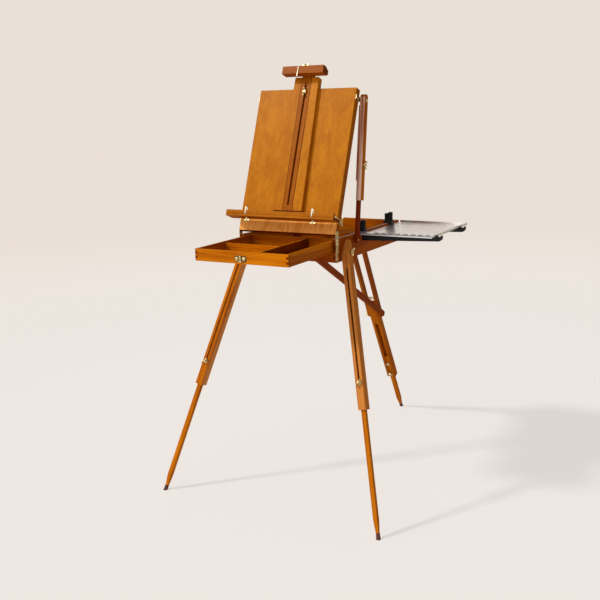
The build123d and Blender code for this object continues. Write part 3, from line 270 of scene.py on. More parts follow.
class WoodLook(bpy.types.PropertyGroup):
    board_pale: colour_setting(
        "Board, pale", "Colour of the pale grain of the solid wood", (0.69, 0.210, 0.002))
    board_deep: colour_setting(
        "Board, deep", "Colour of the deep grain of the solid wood", (0.38, 0.084, 0.001))
    panel_pale: colour_setting(
        "Panel, pale", "Colour of the pale grain of the lid's panel", (0.60, 0.214, 0.007))
    panel_deep: colour_setting(
        "Panel, deep", "Colour of the deep grain of the lid's panel", (0.44, 0.136, 0.004))
    # Painted light: the panel's foot below the ledge is painted brighter than the panel, against
    # the ledge's shadow; its veins are the board's own figure
    foot_pale_painted_light: colour_setting(
        "Panel's foot, pale", "Colour of the lid's panel below the ledge", (1.0, 0.46, 0.11))
    foot_veins_painted_light: colour_setting(
        "Panel's foot, veins", "Colour of the veins below the ledge", (0.84, 0.31, 0.055))
    # Painted sheen: a paler, pinker colour on faces that would catch a reflection of the lamps
    rubbed: colour_setting(
        "Rubbed wood", "Colour of the faces that are rubbed paler by use", (0.68, 0.29, 0.08))
    # Painted highlight: the case walls' tops and the braces' fronts are painted this bright colour,
    # the braces' fronts though the lid shades them
    worn: colour_setting(
        "Worn wood", "Colour of the case's wall tops and the braces' fronts", (1.0, 0.72, 0.58))
    end_grain: colour_setting(
        "End grain", "Colour of the boards' sawn ends and finger joints", (0.13, 0.018, 0.001))
    # The darker boards' own tone, and also the colour of painted shade
    dark_wood_and_shade: colour_setting(
        "Stained wood", "Colour that the darker boards tend to", (0.20, 0.022, 0.001))
    varnish: strength_setting("Varnish", "Strength of the varnish's gloss", 0.07, 1)
    streak_width: length_setting("Streak width", "Width of the grain's streaks", 0.004, 0.05)
    edge: length_setting("Edge rounding", "Width of the boards' sanded edges", 0.0008, 0.003)


class MetalLook(bpy.types.PropertyGroup):
    brass: colour_setting("Brass", "Colour of the wing nuts, straps and screws", (0.80, 0.62, 0.30))
    aged: colour_setting("Aged brass", "Colour of the dulled brass plate", (0.17, 0.125, 0.05))
    steel: colour_setting("Steel", "Colour of the retaining blades", (0.58, 0.55, 0.42))
    tray: colour_setting("Tray", "Colour of the side tray's sheet", (1.0, 0.99, 1.0))
    # Painted shade: the front rim is darker than the tray's sheet because it faces away from the
    # light
    rim: colour_setting("Tray rim", "Colour of the tray's front rim", (0.26, 0.25, 0.26))
    end: colour_setting("Tray end", "Colour of the tray's toothed right rim", (0.86, 0.80, 0.70))
    # Painted shade: the seam colour darkens the mast's gaps and the case walls' grooves, where
    # shade falls
    seam: colour_setting("Seam", "Colour of the dark grooves and seams", (0.030, 0.006, 0.002))
    black: colour_setting("Black", "Colour of the tray's arms and clamps", (0.008, 0.008, 0.009))
    rubber: colour_setting("Rubber", "Colour of the feet", (0.085, 0.018, 0.012))


class FittingSizes(bpy.types.PropertyGroup):
    nut_ear: length_setting("Ear thickness", "Thickness of a wing nut's ears", 0.0024, 0.005)
    screw_radius: length_setting(
        "Screw head radius", "Radius of the domed screw heads", 0.0038, 0.01)
    screw_rise: length_setting(
        "Screw head height", "Height of the domed screw heads", 0.0022, 0.01)
    rib_count: count_setting("Clamp ribs", "Ribs round each lobe of a clamp's grip", 14)
    flute_count: count_setting("Knob flutes", "Flutes round a knob", 24)


class StageLook(bpy.types.PropertyGroup):
    floor: colour_setting("Floor", "Colour of the floor under the easel", (0.86, 0.82, 0.79))
    floor_seen: colour_setting(
        "Floor, seen", "Tone of the paper floor near the easel", (1.0, 0.95, 0.91))
    backdrop: colour_setting("Backdrop", "Colour of the background", (0.82, 0.745, 0.675))
    sun: strength_setting("Sun", "Strength of the main lamp", 1.7, 20)
    sun_width: angle_setting("Sun width", "Angle that the main lamp is seen under", 6)
    fill: strength_setting("Fill", "Strength of the broad lamp in front", 1.6, 20)
    fill_width: angle_setting("Fill width", "Angle that the broad lamp is seen under", 100)
    ambient: strength_setting("Ambient", "Strength of the light from all round", 0.30, 5)
    heading: angle_setting("Heading", "Camera's turn to the left of the depth axis", 29.36)
    tilt: angle_setting("Tilt", "Camera's tilt below the horizon", 12.47)
    roll: angle_setting("Roll", "Camera's roll", -1.43)
    lens: bpy.props.FloatProperty(
        name="Lens", description="Focal length in millimetres on a 36 mm sensor", default=52.66,
        min=10, max=200)
    camera_place: bpy.props.FloatVectorProperty(
        name="Camera", description="Camera's place from the case's front middle on the floor",
        default=(1.54519, -2.66419, 1.41409), subtype="XYZ", unit="LENGTH")


# Vectors, and what a mesh says of all its points or faces at once
def unit(vector):
    """The vector at length 1."""
    vector = np.asarray(vector, float)
    return vector / np.linalg.norm(vector)


def read(items, field, width=1):
    """One field of a mesh's points or faces, as an array of numbers or of rows."""
    found = np.empty(len(items) * width)
    items.foreach_get(field, found)
    return found.reshape(-1, width) if width > 1 else found


def reach(points, direction):
    """Lowest and highest place of the points along a direction."""
    along = points @ direction
    return along.min(), along.max()


def merged(mesh):
    """The mesh as an editable one whose points at one place are merged."""
    shape = bmesh.new()
    shape.from_mesh(mesh)
    bmesh.ops.remove_doubles(shape, verts=shape.verts, dist=MERGE)
    return shape


# Shapes: each is a pair of arrays, points and four-cornered faces
def grid_faces(rows, columns, wrapped):
    """Faces of a grid of points: each joins a point with the next column's and the next row's."""
    last = columns if wrapped else columns - 1
    row, column = np.meshgrid(np.arange(rows - 1), np.arange(last), indexing="ij")
    near = row * columns + column
    beside = row * columns + (column + 1) % columns
    return np.stack([near, beside, beside + columns, near + columns], -1).reshape(-1, 4)


def turned(profile, steps, flutes=0, flute_depth=0.0, fluted=None):
    """Surface of revolution: each profile point (radius, height) goes round the z axis.

    Where fluted is 1 the radius also dips by up to flute_depth, with the cosine of flutes times
    the angle.
    """
    profile = np.asarray(profile, float)
    angle = np.linspace(0, TWO_PI, steps, endpoint=False)
    share = np.zeros(len(profile)) if fluted is None else np.asarray(fluted, float)
    swing = flute_depth * (np.cos(flutes * angle)[None] - 1) / 2
    radius = profile[:, :1] + share[:, None] * swing
    height = np.broadcast_to(profile[:, 1:], radius.shape)
    points = np.stack([radius * np.cos(angle), radius * np.sin(angle), height], -1)
    return points.reshape(-1, 3), grid_faces(len(profile), steps, True)


def superellipse(steps, power):
    """Unit outline: cosine and sine, each raised to 2/power with its sign kept."""
    angle = np.linspace(0, TWO_PI, steps, endpoint=False)
    cosine, sine = np.cos(angle), np.sin(angle)
    corner = 2 / power
    x = np.sign(cosine) * np.abs(cosine) ** corner
    y = np.sign(sine) * np.abs(sine) ** corner
    return np.stack([x, y], -1)


def lofted(centres, halves, across, beside, power, steps):
    """Bar along a line of centres: at each centre a superellipse with its own half widths.

    across and beside are the section's two directions, one for all centres or one for each.
    """
    outline = superellipse(steps, power)
    across = np.broadcast_to(across, centres.shape)
    beside = np.broadcast_to(beside, centres.shape)
    offset = (
        outline[None, :, :1] * halves[:, None, :1] * across[:, None]
        + outline[None, :, 1:] * halves[:, None, 1:] * beside[:, None]
    )
    points = centres[:, None] + offset
    return points.reshape(-1, 3), grid_faces(len(centres), steps, True)


def joined(*shapes):
    """Several shapes as one, the faces' numbers moved up by the points before them."""
    points, faces, before = [], [], 0
    for shape_points, shape_faces in shapes:
        points.append(shape_points)
        faces.append(shape_faces + before)
        before += len(shape_points)
    return np.concatenate(points), np.concatenate(faces)


def put(shape, origin, up, ahead=UP):
    """The shape moved to origin, its z turned to up and its x as near to ahead as can be."""
    up, ahead = unit(up), np.asarray(ahead, float)
    ahead = unit(ahead - up * (ahead @ up))
    axes = np.stack([ahead, np.cross(up, ahead), up])
    return shape[0] @ axes + np.asarray(origin, float), shape[1]


def rounded_bar(length, width, height, power):
    """Box with rounded edges along x: superellipse sections that shrink at the two ends."""
    along = np.array([0, 0, 0.012, 0.06, 0.94, 0.988, 1, 1])
    size = np.array([0, 0.9, 0.97, 1, 1, 0.97, 0.9, 0])
    centres = np.outer(along * length, ACROSS)
    halves = np.outer(size, (width / 2, height / 2))
    return lofted(centres, halves, INWARD, UP, power, 24)


def piece(name, shape, finish, body, replaced=()):
    """Makes one closed Blender object from a shape and lets it ride on its body."""
    points, faces = shape
    mesh = bpy.data.meshes.new(name)
    mesh.vertices.add(len(points))
    mesh.vertices.foreach_set("co", points.astype(np.float32).ravel())
    mesh.loops.add(faces.size)
    mesh.loops.foreach_set("vertex_index", faces.astype(np.int32).ravel())
    mesh.polygons.add(len(faces))
    mesh.polygons.foreach_set("loop_start", np.arange(0, faces.size, 4, dtype=np.int32))
    mesh.update(calc_edges=True)
    closed = merged(mesh)
    bmesh.ops.dissolve_degenerate(closed, edges=closed.edges, dist=MERGE)
    bmesh.ops.recalc_face_normals(closed, faces=closed.faces)
    closed.to_mesh(mesh)
    closed.free()
    show(name, mesh, [finishes()[finish]], body, replaced, FITTING_SHARP)


def show(name, mesh, materials, body, replaced, sharp):
    """Puts a finished mesh into the scene as a piece of the easel."""
    for material in materials:
        mesh.materials.append(material)
    mesh.polygons.foreach_set("use_smooth", np.ones(len(mesh.polygons), bool))
    mesh.set_sharp_from_angle(angle=sharp)
    made = bpy.data.objects.new(name, mesh)
    bpy.context.scene.collection.objects.link(made)
    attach(made, body)
    if replaced:
        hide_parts(*replaced)
    return made


# CAD pieces in their finish
def islands(node):
    """The separate solids of a CAD node, each an array of its points."""
    shape = merged(frame["nodes"][node].data)
    left, found = set(shape.verts), []
    while left:
        waiting, group = [left.pop()], []
        while waiting:
            corner = waiting.pop()
            group.append(corner.co[:])
            beside = {edge.other_vert(corner) for edge in corner.link_edges} & left
            left -= beside
            waiting.extend(beside)
        found.append(np.array(group))
    shape.free()
    return sorted(found, key=lambda points: tuple(np.round(points.mean(0), 3)))


def board_axes(mesh):
    """Middle and axes of a board, its longest one last, from its faces' areas and centres."""
    area = read(mesh.polygons, "area")[:, None]
    centre = read(mesh.polygons, "center", 3)
    middle = (centre * area).sum(0) / area.sum()
    spread = centre - middle
    return middle, np.linalg.eigh((spread * area).T @ spread)[1].T


def store(mesh, name, values):
    """Stores a number on each face under a name."""
    mesh.attributes.new(name, "FLOAT", "FACE").data.foreach_set("value", values.astype(float))


def add_grain(mesh, number, along, rubbed, stain, shaded):
    """Stores each point's place in its board's own axes, the grain running along the last one.

    end_grain is 1 on faces that cut across the grain. Faces that look in one of the sheen
    directions store that direction's length: a painted sheen, paler and pinker. The board's
    darkness is stored on all its faces, partly its own tone and partly painted shade, and what
    stands within shaded's length of the far end in its direction is darkest: painted shade.
    """
    middle, axes = board_axes(mesh)
    if along is not None:
        last = unit(along)
        first = unit(np.cross(last, axes[0] if abs(last @ axes[0]) < 0.9 else axes[1]))
        axes = np.stack([first, np.cross(last, first), last])
    shift = number * np.array([0.37, 0.23, 1.1])
    own = (read(mesh.vertices, "co", 3) - middle) @ axes.T + shift
    mesh.attributes.new("grain", "FLOAT_VECTOR", "POINT").data.foreach_set("vector", own.ravel())
    normals = read(mesh.polygons, "normal", 3)
    worn = np.zeros(len(normals))
    for direction in rubbed:
        amount = np.linalg.norm(direction)
        worn = np.maximum(worn, (normals @ np.asarray(direction) > 0.9 * amount) * amount)
    depth = np.full(len(normals), stain)
    # Painted shade: faces near the far end in a shaded direction take the darkest colour
    for direction, length in shaded:
        dark = beyond(mesh, direction, length)
        depth[dark], worn[dark] = 1.0, 0.0
    store(mesh, "end_grain", np.abs(normals @ axes[2]) > 0.75)
    store(mesh, "rubbed", worn)
    store(mesh, "stain", depth)


def beyond(mesh, direction, length):
    """Which faces have their centre within a length of the mesh's far end in a direction."""
    way = unit(direction)
    far_end = reach(read(mesh.vertices, "co", 3), way)[1]
    return read(mesh.polygons, "center", 3) @ way > far_end - length


def dress(node, finish, number=None, edge=0.0, along=None, metal_beyond=(), left_out=(), rubbed=(),
          shaded=()):
    """A finished copy of a CAD node: corners merged, edges rounded, its material put on.

    number starts the wood's pattern at its own place. metal_beyond lists directions and lengths:
    what stands within that length of the node's far end in that direction is brass. left_out
    lists the boxes of solids that finer pieces replace.
    """
    shape = merged(frame["nodes"][node].data)
    for low, high in left_out:
        gone = [v for v in shape.verts if all(low[i] <= v.co[i] <= high[i] for i in range(3))]
        bmesh.ops.delete(shape, geom=gone, context="VERTS")
    bmesh.ops.dissolve_limit(shape, angle_limit=FLAT, verts=shape.verts, edges=shape.edges)
    mesh = bpy.data.meshes.new(node + "_finish")
    shape.to_mesh(mesh)
    shape.free()
    if number is not None:
        add_grain(mesh, number, along, rubbed, STAIN_AND_SHADE.get(node, USUAL_STAIN), shaded)
    materials = [finishes()[finish]]
    if metal_beyond:
        materials.append(finishes()["brass"])
        is_metal = np.zeros(len(mesh.polygons), bool)
        for direction, length in metal_beyond:
            is_metal |= beyond(mesh, direction, length)
        mesh.polygons.foreach_set("material_index", is_metal.astype(np.int32))
    made = show(
        node + "_finish", mesh, materials, BODY_OF[node], [node], BOARD_SHARP)
    if edge:
        bevel = made.modifiers.new("sanded edges", "BEVEL")
        bevel.width = edge
        bevel.segments = 2
        bevel.limit_method = "ANGLE"
        bevel.angle_limit = BEVEL_FROM
        bevel.use_clamp_overlap = True
        bevel.harden_normals = True
    return made


def wooden(nodes, along=None, finish=None, **options):
    """Dresses several boards in the wood of their slot, each with its own piece of pattern."""
    edge = bpy.context.scene.easel_wood.edge
    for node in nodes:
        number = sorted(BODY_OF).index(node) + 1
        dress(node, finish or SLOT_OF[node].replace("_", " "), number, edge, along, **options)


# Finishes
def wood(name, pale, deep, sheen_colour, mottled=0.0, has_foot=False):
    """Varnished wood: broad bands, long streaks and fine dark pores along the grain, darker ends.

    mottled mixes in short flecks of silky figure, as on a rotary-cut veneer.
    """
    look = bpy.context.scene.easel_wood
    made = Finish(name, Coat_Weight=look.varnish, Coat_Roughness=0.28, Specular_IOR_Level=0.0)
    grain = made.stored_place("grain")
    band = made.noise(made.scaled(grain, (1, 1, 0.06)), 26, 2, 0.6)
    streak = made.noise(made.scaled(grain, (1, 1, 0.025)), 1 / look.streak_width, 3)
    fleck = made.noise(made.scaled(grain, (1, 1, 0.22)), 420, 3, 0.8)
    cloud = made.noise(made.scaled(grain, (1, 1, 0.5)), 22, 3, 1.0)
    pore = made.noise(made.scaled(grain, (1, 1, 0.08)), 2100, 1)
    plain = band * 0.45 + streak * 0.40 + fleck * 0.15
    tone = plain * (1 - mottled) + (fleck * 0.45 + cloud * 0.55) * mottled
    colour = made.blend(made.step(tone, 0.36, 0.62), opaque(deep), opaque(pale))
    colour = made.blend(made.step(pore, 0.58, 0.72) * 0.35, colour, opaque(deep, 0.4))
    # Each board's own darker tone, and painted shade where a face is marked darkest
    colour = made.blend(made.stored("stain"), colour, opaque(look.dark_wood_and_shade))
    # Painted sheen: marked faces turn paler and pinker along the grain's bands
    sheen_share = made.stored("rubbed") * made.step(band + streak * 0.5, 0.4, 0.85)
    colour = made.blend(sheen_share, colour, opaque(sheen_colour))
    # Painted light on the panel's foot, below the ledge
    if has_foot:
        colour = lower_figure_painted_light(made, look, colour, grain)
    colour = made.blend(made.stored("end_grain") * 0.85, colour, opaque(look.end_grain))
    made.paint(colour, 0.42 + 0.2 * streak, streak * 0.5 + pore, 0.00006)


def lower_figure_painted_light(made, look, colour, grain):
    """The panel's foot, below the ledge: painted light, paler than the panel to undo the ledge's
    shadow, with wavy veins of a flat-cut board.

    A vein is where a stretched noise, folded back and forth, is near its fold.
    """
    ledge_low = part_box("canvas_ledge")[0].z
    foot_share = 1 - made.step(made.height(made.place()), ledge_low - 0.004, ledge_low + 0.02)
    wave = made.noise(made.scaled(grain, (1, 1, 0.14)), 22, 1, 0.9)
    vein = made.step(made.math("PINGPONG", wave * 7, 0.5), 0.15, 0.45)
    figure = made.blend(vein, opaque(look.foot_pale_painted_light), opaque(look.foot_veins_painted_light))
    return made.blend(foot_share * 0.8, colour, figure)


def metal(name, colour, roughness, mottle):
    """Metal with faint cloudy wear in its colour and gloss."""
    made = Finish(name, Metallic=1.0)
    place = made.place()
    cloud = made.noise(place, 180, 3)
    fine = made.noise(place, 1400, 2)
    tone = made.blend(made.step(cloud, 0.35, 0.7), opaque(colour, 1 - mottle * 2), opaque(colour))
    made.paint(tone, roughness + 0.18 * cloud, fine, 0.00003)


def moulded(name, colour, roughness, grain_scale, gloss):
    """Moulded plastic or rubber with a fine matt grain and slightly paler patches of wear."""
    made = Finish(name, Specular_IOR_Level=gloss)
    place = made.place()
    cloud = made.noise(place, 60, 3)
    fine = made.noise(place, grain_scale, 2)
    tone = made.blend(made.step(cloud, 0.4, 0.75), opaque(colour), opaque(colour, 1.7))
    made.paint(tone, roughness + 0.15 * cloud, fine, 0.00008)


def tray_sheet(name, colour, roughness):
    """Satin sheet metal: brushed along one way, with faint scuffs."""
    made = Finish(name, Metallic=1.0)
    place = made.place()
    brushed = made.noise(made.scaled(place, (0.03, 1, 1)), 900, 2)
    scuff = made.noise(made.scaled(place, (0.3, 1, 1)), 60, 4, 0.6)
    tone = made.blend(made.step(scuff, 0.40, 0.7), opaque(colour), opaque(colour, 0.96))
    tone = made.blend(made.step(brushed, 0.3, 0.7) * 0.25, tone, opaque(colour, 0.9))
    made.paint(tone, roughness + 0.15 * scuff, brushed, 0.00002)


def rim_sheet(name, colour, pale):
    """The tray's scalloped rims, whose lower hem has its own colour.

    On the front rim the dark colour is painted shade and the paler hem a painted highlight along
    the bend; on the end rim the hem is darker than the rest.
    """
    made = Finish(name, Metallic=0.4, Specular_IOR_Level=0.3)
    place = made.place()
    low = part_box("side_tray")[0].z
    cloud = made.noise(place, 240, 3)
    tone = made.blend(made.step(cloud, 0.35, 0.7), opaque(colour, 0.8), opaque(colour))
    # The hem: a painted highlight along the front rim's bend, and darker on the end rim
    hem = 1 - made.step(made.height(place), low + 0.0036, low + 0.0050)
    tone = made.blend(hem, tone, opaque(pale, 0.5))
    made.paint(tone, 0.30 + 0.15 * cloud, cloud, 0.00003)


def finishes():
    """The easel's materials by name, made at the first call and then looked up."""
    if PREFIX + "light wood" not in bpy.data.materials:
        look, metals = bpy.context.scene.easel_wood, bpy.context.scene.easel_metal
        wood("light wood", look.board_pale, look.board_deep, look.rubbed)
        wood("worn wood", look.board_pale, look.board_deep, look.worn)
        wood("panel wood", look.panel_pale, look.panel_deep, look.rubbed, 0.75)
        wood("lid wood", look.panel_pale, look.panel_deep, look.rubbed, 0.75, True)
        metal("brass", metals.brass, 0.26, 0.30)
        metal("aged brass", metals.aged, 0.38, 0.30)
        metal("steel", metals.steel, 0.42, 0.20)
        tray_sheet("tray sheet", metals.tray, 0.16)
        rim_sheet("tray rim", metals.rim, metals.tray)
        rim_sheet("tray end", metals.end, metals.end)
        moulded("seam", metals.seam, 0.7, 900, 0.0)
        moulded("black plastic", metals.black, 0.42, 1500, 0.2)
        moulded("rubber", metals.rubber, 0.62, 900, 0.4)
    own = [made for made in bpy.data.materials if made.name.startswith(PREFIX)]
    return {made.name.removeprefix(PREFIX): made for made in own}


# Fittings
def rounded_tip(way, start):
    """Share of a strip's full width: 1 up to start, then a quarter ellipse down to 0 at 1."""
    return np.sqrt(1 - np.clip((way - start) / (1 - start), 0, 1) ** 2)


def wing_nut(radius=0.006, height=0.0072, span=0.030, rise=0.013, bolt=0.003, flange=0.0, root=0.42,
             thicker=1.0):
    """Wing nut on z 0: a turned hub with the bolt's threaded end, and two swept ears.

    An ear's centre line leaves the hub at root, a share of its height, and sweeps out and up to
    rise; its section is a flat superellipse that widens from the root to the rounded tip.
    """
    ear = bpy.context.scene.easel_fittings.nut_ear * thicker
    base = radius + flange
    profile = [(0, 0), (base * 0.94, 0), (base, height * 0.08)]
    if flange:
        profile += [
            (base, height * 0.20), (base * 0.96, height * 0.26), (radius * 1.02, height * 0.30),
        ]
    profile += [
        (radius, height * 0.36), (radius * 0.93, height * 0.7), (radius * 0.86, height * 0.94),
        (radius * 0.78, height), (bolt * 1.18, height), (bolt * 1.02, height * 0.9),
    ]
    bolt_length, turns = 0.0035, 5
    pitch = (bolt_length + height * 0.1) / turns
    for index in range(turns):
        thread = bolt if index % 2 else bolt * 0.86
        profile.append((thread, height * 0.9 + (index + 0.5) * pitch))
    top = height + bolt_length
    profile += [(bolt * 0.8, top), (0, top)]
    way = np.linspace(0, 1, 15)
    start, end = (radius * 0.35, height * root), (span * 0.42, rise)
    middle = (span * 0.34, height * (root + 0.08))
    shares = np.stack([(1 - way) ** 2, 2 * way * (1 - way), way**2], -1)
    curve = shares @ np.array([start, middle, end])
    tangent = np.gradient(curve, axis=0)
    tangent /= np.linalg.norm(tangent, axis=1, keepdims=True)
    width = 0.0024 + 0.0022 * np.sin(math.pi * (way * 0.62 + 0.14))
    halves = np.stack([width, np.full(len(way), ear / 2)], -1) * rounded_tip(way, 0.84)[:, None]
    halves[0] = 0
    level, ears = np.zeros(len(way)), []
    for hand in (1, -1):
        centres = np.stack([hand * curve[:, 0], level, curve[:, 1]], -1)
        across = np.stack([-hand * tangent[:, 1], level, tangent[:, 0]], -1)
        ears.append(lofted(centres, halves, across, INWARD, 3.0, 16))
    return joined(turned(profile, 36), *ears)


def screw_head(turn):
    """Domed screw head on z 0: a dome whose height drops in a cross-shaped recess.

    Points lie on circles; height is a flattened dome less a smooth step where the point is
    within the slot's half width of one of two crossing lines.
    """
    sizes, steps = bpy.context.scene.easel_fittings, 48
    share = np.array([1, 1, 0.97, 0.9, 0.8, 0.7, 0.6, 0.5, 0.42, 0.34, 0.27, 0.2, 0.13, 0.06, 0])
    share = share[:, None]
    angle = np.linspace(0, TWO_PI, steps, endpoint=False)[None]
    near = np.minimum(
        np.abs(share * np.cos(angle - turn)), np.abs(share * np.sin(angle - turn)))
    recess = np.clip((0.16 - near) / 0.06, 0, 1) * np.clip((0.66 - share) / 0.1, 0, 1)
    height = (0.55 + 0.45 * np.sqrt(1 - share**2) - 0.42 * recess) * sizes.screw_rise
    height[0] = 0
    place = share * sizes.screw_radius
    points = np.stack([place * np.cos(angle), place * np.sin(angle), height], -1)
    base = turned([(0, 0), (sizes.screw_radius, 0)], steps)
    return joined((points.reshape(-1, 3), grid_faces(len(share), steps, True)), base)


def seat(points, up):
    """Middle of some points across a direction, at their lowest place along it."""
    up = unit(up)
    side = unit(np.cross(up, UP if abs(up[2]) < 0.9 else ACROSS))
    axes = np.stack([side, np.cross(up, side), up])
    own = points @ axes.T
    low, high = own.min(0), own.max(0)
    return np.array([(low[0] + high[0]) / 2, (low[1] + high[1]) / 2, low[2]]) @ axes


def node_points(node):
    """All corner points of a CAD node."""
    return read(frame["nodes"][node].data.vertices, "co", 3)


def around(points):
    """The box of a solid, just large enough to hold its corner points."""
    return points.min(0) - MERGE, points.max(0) + MERGE


def is_strip(points, forward):
    """Whether a solid is a blade, which is thin from front to back, and not a nut."""
    low, high = reach(points, forward)
    return high - low < STRIP_DEPTH


def seated(node, shape, up, ahead):
    """Makes a brass piece that stands where a CAD node sits, and rides on that node's body."""
    placed = put(shape, seat(node_points(node), up), up, ahead)
    piece(node + "_fine", placed, "brass", BODY_OF[node], [node])


def lid_directions():
    """The lid's forward and upward directions, from its panel's front face."""
    faces = frame["nodes"]["lid_panel"].data.polygons
    normals = read(faces, "normal", 3)
    front = (normals[:, 1] < -0.7) & (normals[:, 2] > 0.1)
    forward = unit((normals * read(faces, "area")[:, None])[front].sum(0))
    return forward, np.cross(ACROSS, -forward)


def leg_directions(node):
    """A leg's downward direction and the direction its front face looks in."""
    along = board_axes(frame["nodes"][node].data)[1][2]
    down = along if along[2] < 0 else -along
    front = np.cross(unit(ACROSS - down * down[0]), down)
    return down, front if front[1] < 0 else -front


class EASEL_OT_case(bpy.types.Operator):
    """Finish the paint box: its sides, rails, deck, divider and runners"""

    bl_idname = "easel.case"
    bl_label = "Case"

    def execute(self, context):
        # Painted highlight: the walls' tops take the bright highlight colour
        wooden(("case_side_left", "case_side_right"), INWARD, "worn wood", rubbed=(UP,))
        # A dark strip along each wall's top: painted shade in its groove
        inset, width, rise = 0.012, 0.0022, 0.0005
        for hand in HANDS:
            low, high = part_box(f"case_side_{hand}")
            line = rounded_bar(high.y - low.y - 2 * inset, width, rise, 4)
            start = ((low.x + high.x) / 2, low.y + inset, high.z)
            piece(f"case_groove_{hand}", put(line, start, UP, INWARD), "seam", "case")
        across = ("case_front_rail", "case_back", "case_deck", "case_divider", "case_bottom")
        wooden(across, ACROSS)
        wooden(("drawer_runners",), INWARD)
        pin_length = 0.0105
        pins = [((way, 0, 0), pin_length) for way in HANDS.values()]
        wooden(("back_leg_hinge",), INWARD, metal_beyond=pins)
        return {"FINISHED"}


class EASEL_OT_drawer(bpy.types.Operator):
    """Finish the drawer: its front, sides, back, bottom and dividers"""

    bl_idname = "easel.drawer"
    bl_label = "Drawer"

    def execute(self, context):
        wooden(("drawer_front", "drawer_back", "drawer_dividers"), ACROSS)
        wooden(("drawer_side_left", "drawer_side_right", "drawer_bottom"), INWARD)
        return {"FINISHED"}


class EASEL_OT_lid(bpy.types.Operator):
    """Finish the lid, the mast with its top clamp, and the canvas ledge"""

    bl_idname = "easel.lid"
    bl_label = "Lid, mast and ledge"

    def execute(self, context):
        forward, upward = lid_directions()
        wooden(("lid_panel",), upward, "lid wood")
        wooden(("lid_frame", "mast_rail_left", "mast_rail_right", "mast_bar"), upward)
        wooden(("top_clamp",), ACROSS)
        # Painted highlight along the ledge's upward faces, the lip's top
        wooden(("canvas_ledge",), ACROSS, rubbed=(upward,))
        self.mast_seams(forward, upward)
        return {"FINISHED"}

    def mast_seams(self, forward, upward):
        """Dark lines in the joints between the sliding bar and its two rails: painted shade in the
        gaps.
        """
        bar_low, bar_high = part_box("mast_bar")
        rail = node_points("mast_rail_left")
        face = reach(rail, forward)[1]
        foot, head = reach(rail, upward)
        inset, rise = 0.002, 0.0005
        for hand, x, width in (("left", bar_low.x, 0.0011), ("right", bar_high.x, 0.0019)):
            line = rounded_bar(head - foot - 2 * inset, width, rise, 4)
            start = np.array([x, 0, 0]) + forward * face + upward * (foot + inset)
            piece(f"mast_seam_{hand}", put(line, start, forward, upward), "seam", "lid")


class EASEL_OT_braces(bpy.types.Operator):
    """Finish the braces' channels and posts with their bolts and foot screws"""

    bl_idname = "easel.braces"
    bl_label = "Braces"

    def execute(self, context):
        bolt_length, inner_depth, screw_rise = 0.0105, 0.0058, 0.0011
        for hand, way in HANDS.items():
            outward, inner = (way, 0, 0), (-way, 0, 0)
            # Painted highlight on the channels' fronts, bright though the lid shades them, and
            # painted shade on the inner cheek strips
            wooden((f"brace_channel_{hand}",), None, "worn wood", rubbed=(FRONT,),
                   metal_beyond=((outward, bolt_length),), shaded=((inner, inner_depth),))
            wooden((f"brace_post_{hand}",), metal_beyond=((outward, screw_rise),))
        return {"FINISHED"}


class EASEL_OT_front_legs(bpy.types.Operator):
    """Finish the two front legs: their slotted channels and sliding inner legs"""

    bl_idname = "easel.front_legs"
    bl_label = "Front legs"

    def execute(self, context):
        stem_length = 0.0122
        for hand in HANDS:
            channel = f"front_leg_channel_{hand}"
            down, front = leg_directions(channel)
            # Painted sheen: the left leg's side faces, and the right leg's front and more faintly
            # its side, turn paler and pinker
            rubbed = (ACROSS,) if hand == "left" else (front * 0.5, (0.4, 0, 0))
            wooden((channel,), down, rubbed=rubbed)
            wooden((f"front_leg_inner_{hand}",), down, metal_beyond=((front, stem_length),))
        return {"FINISHED"}


class EASEL_OT_back_leg(bpy.types.Operator):
    """Finish the back leg: fork, channel, inner leg, and the strut to the knee"""

    bl_idname = "easel.back_leg"
    bl_label = "Back leg and strut"

    def execute(self, context):
        front_stem, back_stem, screw_rise = 0.0047, 0.0028, 0.0019
        wooden(("fork_rail_left", "fork_rail_right", "strut_lower"))
        down, front = leg_directions("back_leg_channel")
        wooden(("back_leg_channel",), down)
        stems = ((front, front_stem), (-front, back_stem))
        wooden(("back_leg_inner",), down, metal_beyond=stems)
        wooden(("strut_upper",), metal_beyond=((ACROSS, screw_rise),))
        return {"FINISHED"}


class EASEL_OT_tray(bpy.types.Operator):
    """Finish the side tray and its arms, and make the ribbed clamps that grip the case's wall"""

    bl_idname = "easel.tray"
    bl_label = "Side tray"

    def execute(self, context):
        tray = dress("side_tray", "tray sheet").data
        for finish in ("tray rim", "tray end"):
            tray.materials.append(finishes()[finish])
        normals, centres = read(tray.polygons, "normal", 3), read(tray.polygons, "center", 3)
        low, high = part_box("side_tray")
        rim = 0.004
        # The front rim takes the dark rim finish, painted shade
        on_front = (normals[:, 1] < -0.7) & (centres[:, 1] < low.y + rim)
        on_end = (normals[:, 0] > 0.7) & (centres[:, 0] > high.x - rim)
        tray.polygons.foreach_set("material_index", (on_front + 2 * on_end).astype(np.int32))
        dress("tray_arms", "black plastic", edge=ARM_EDGE)
        grips = [clamp(points) for points in islands("tray_clamps")]
        piece("tray_clamp_grips", joined(*grips), "black plastic", "tray", ["tray_clamps"])
        return {"FINISHED"}


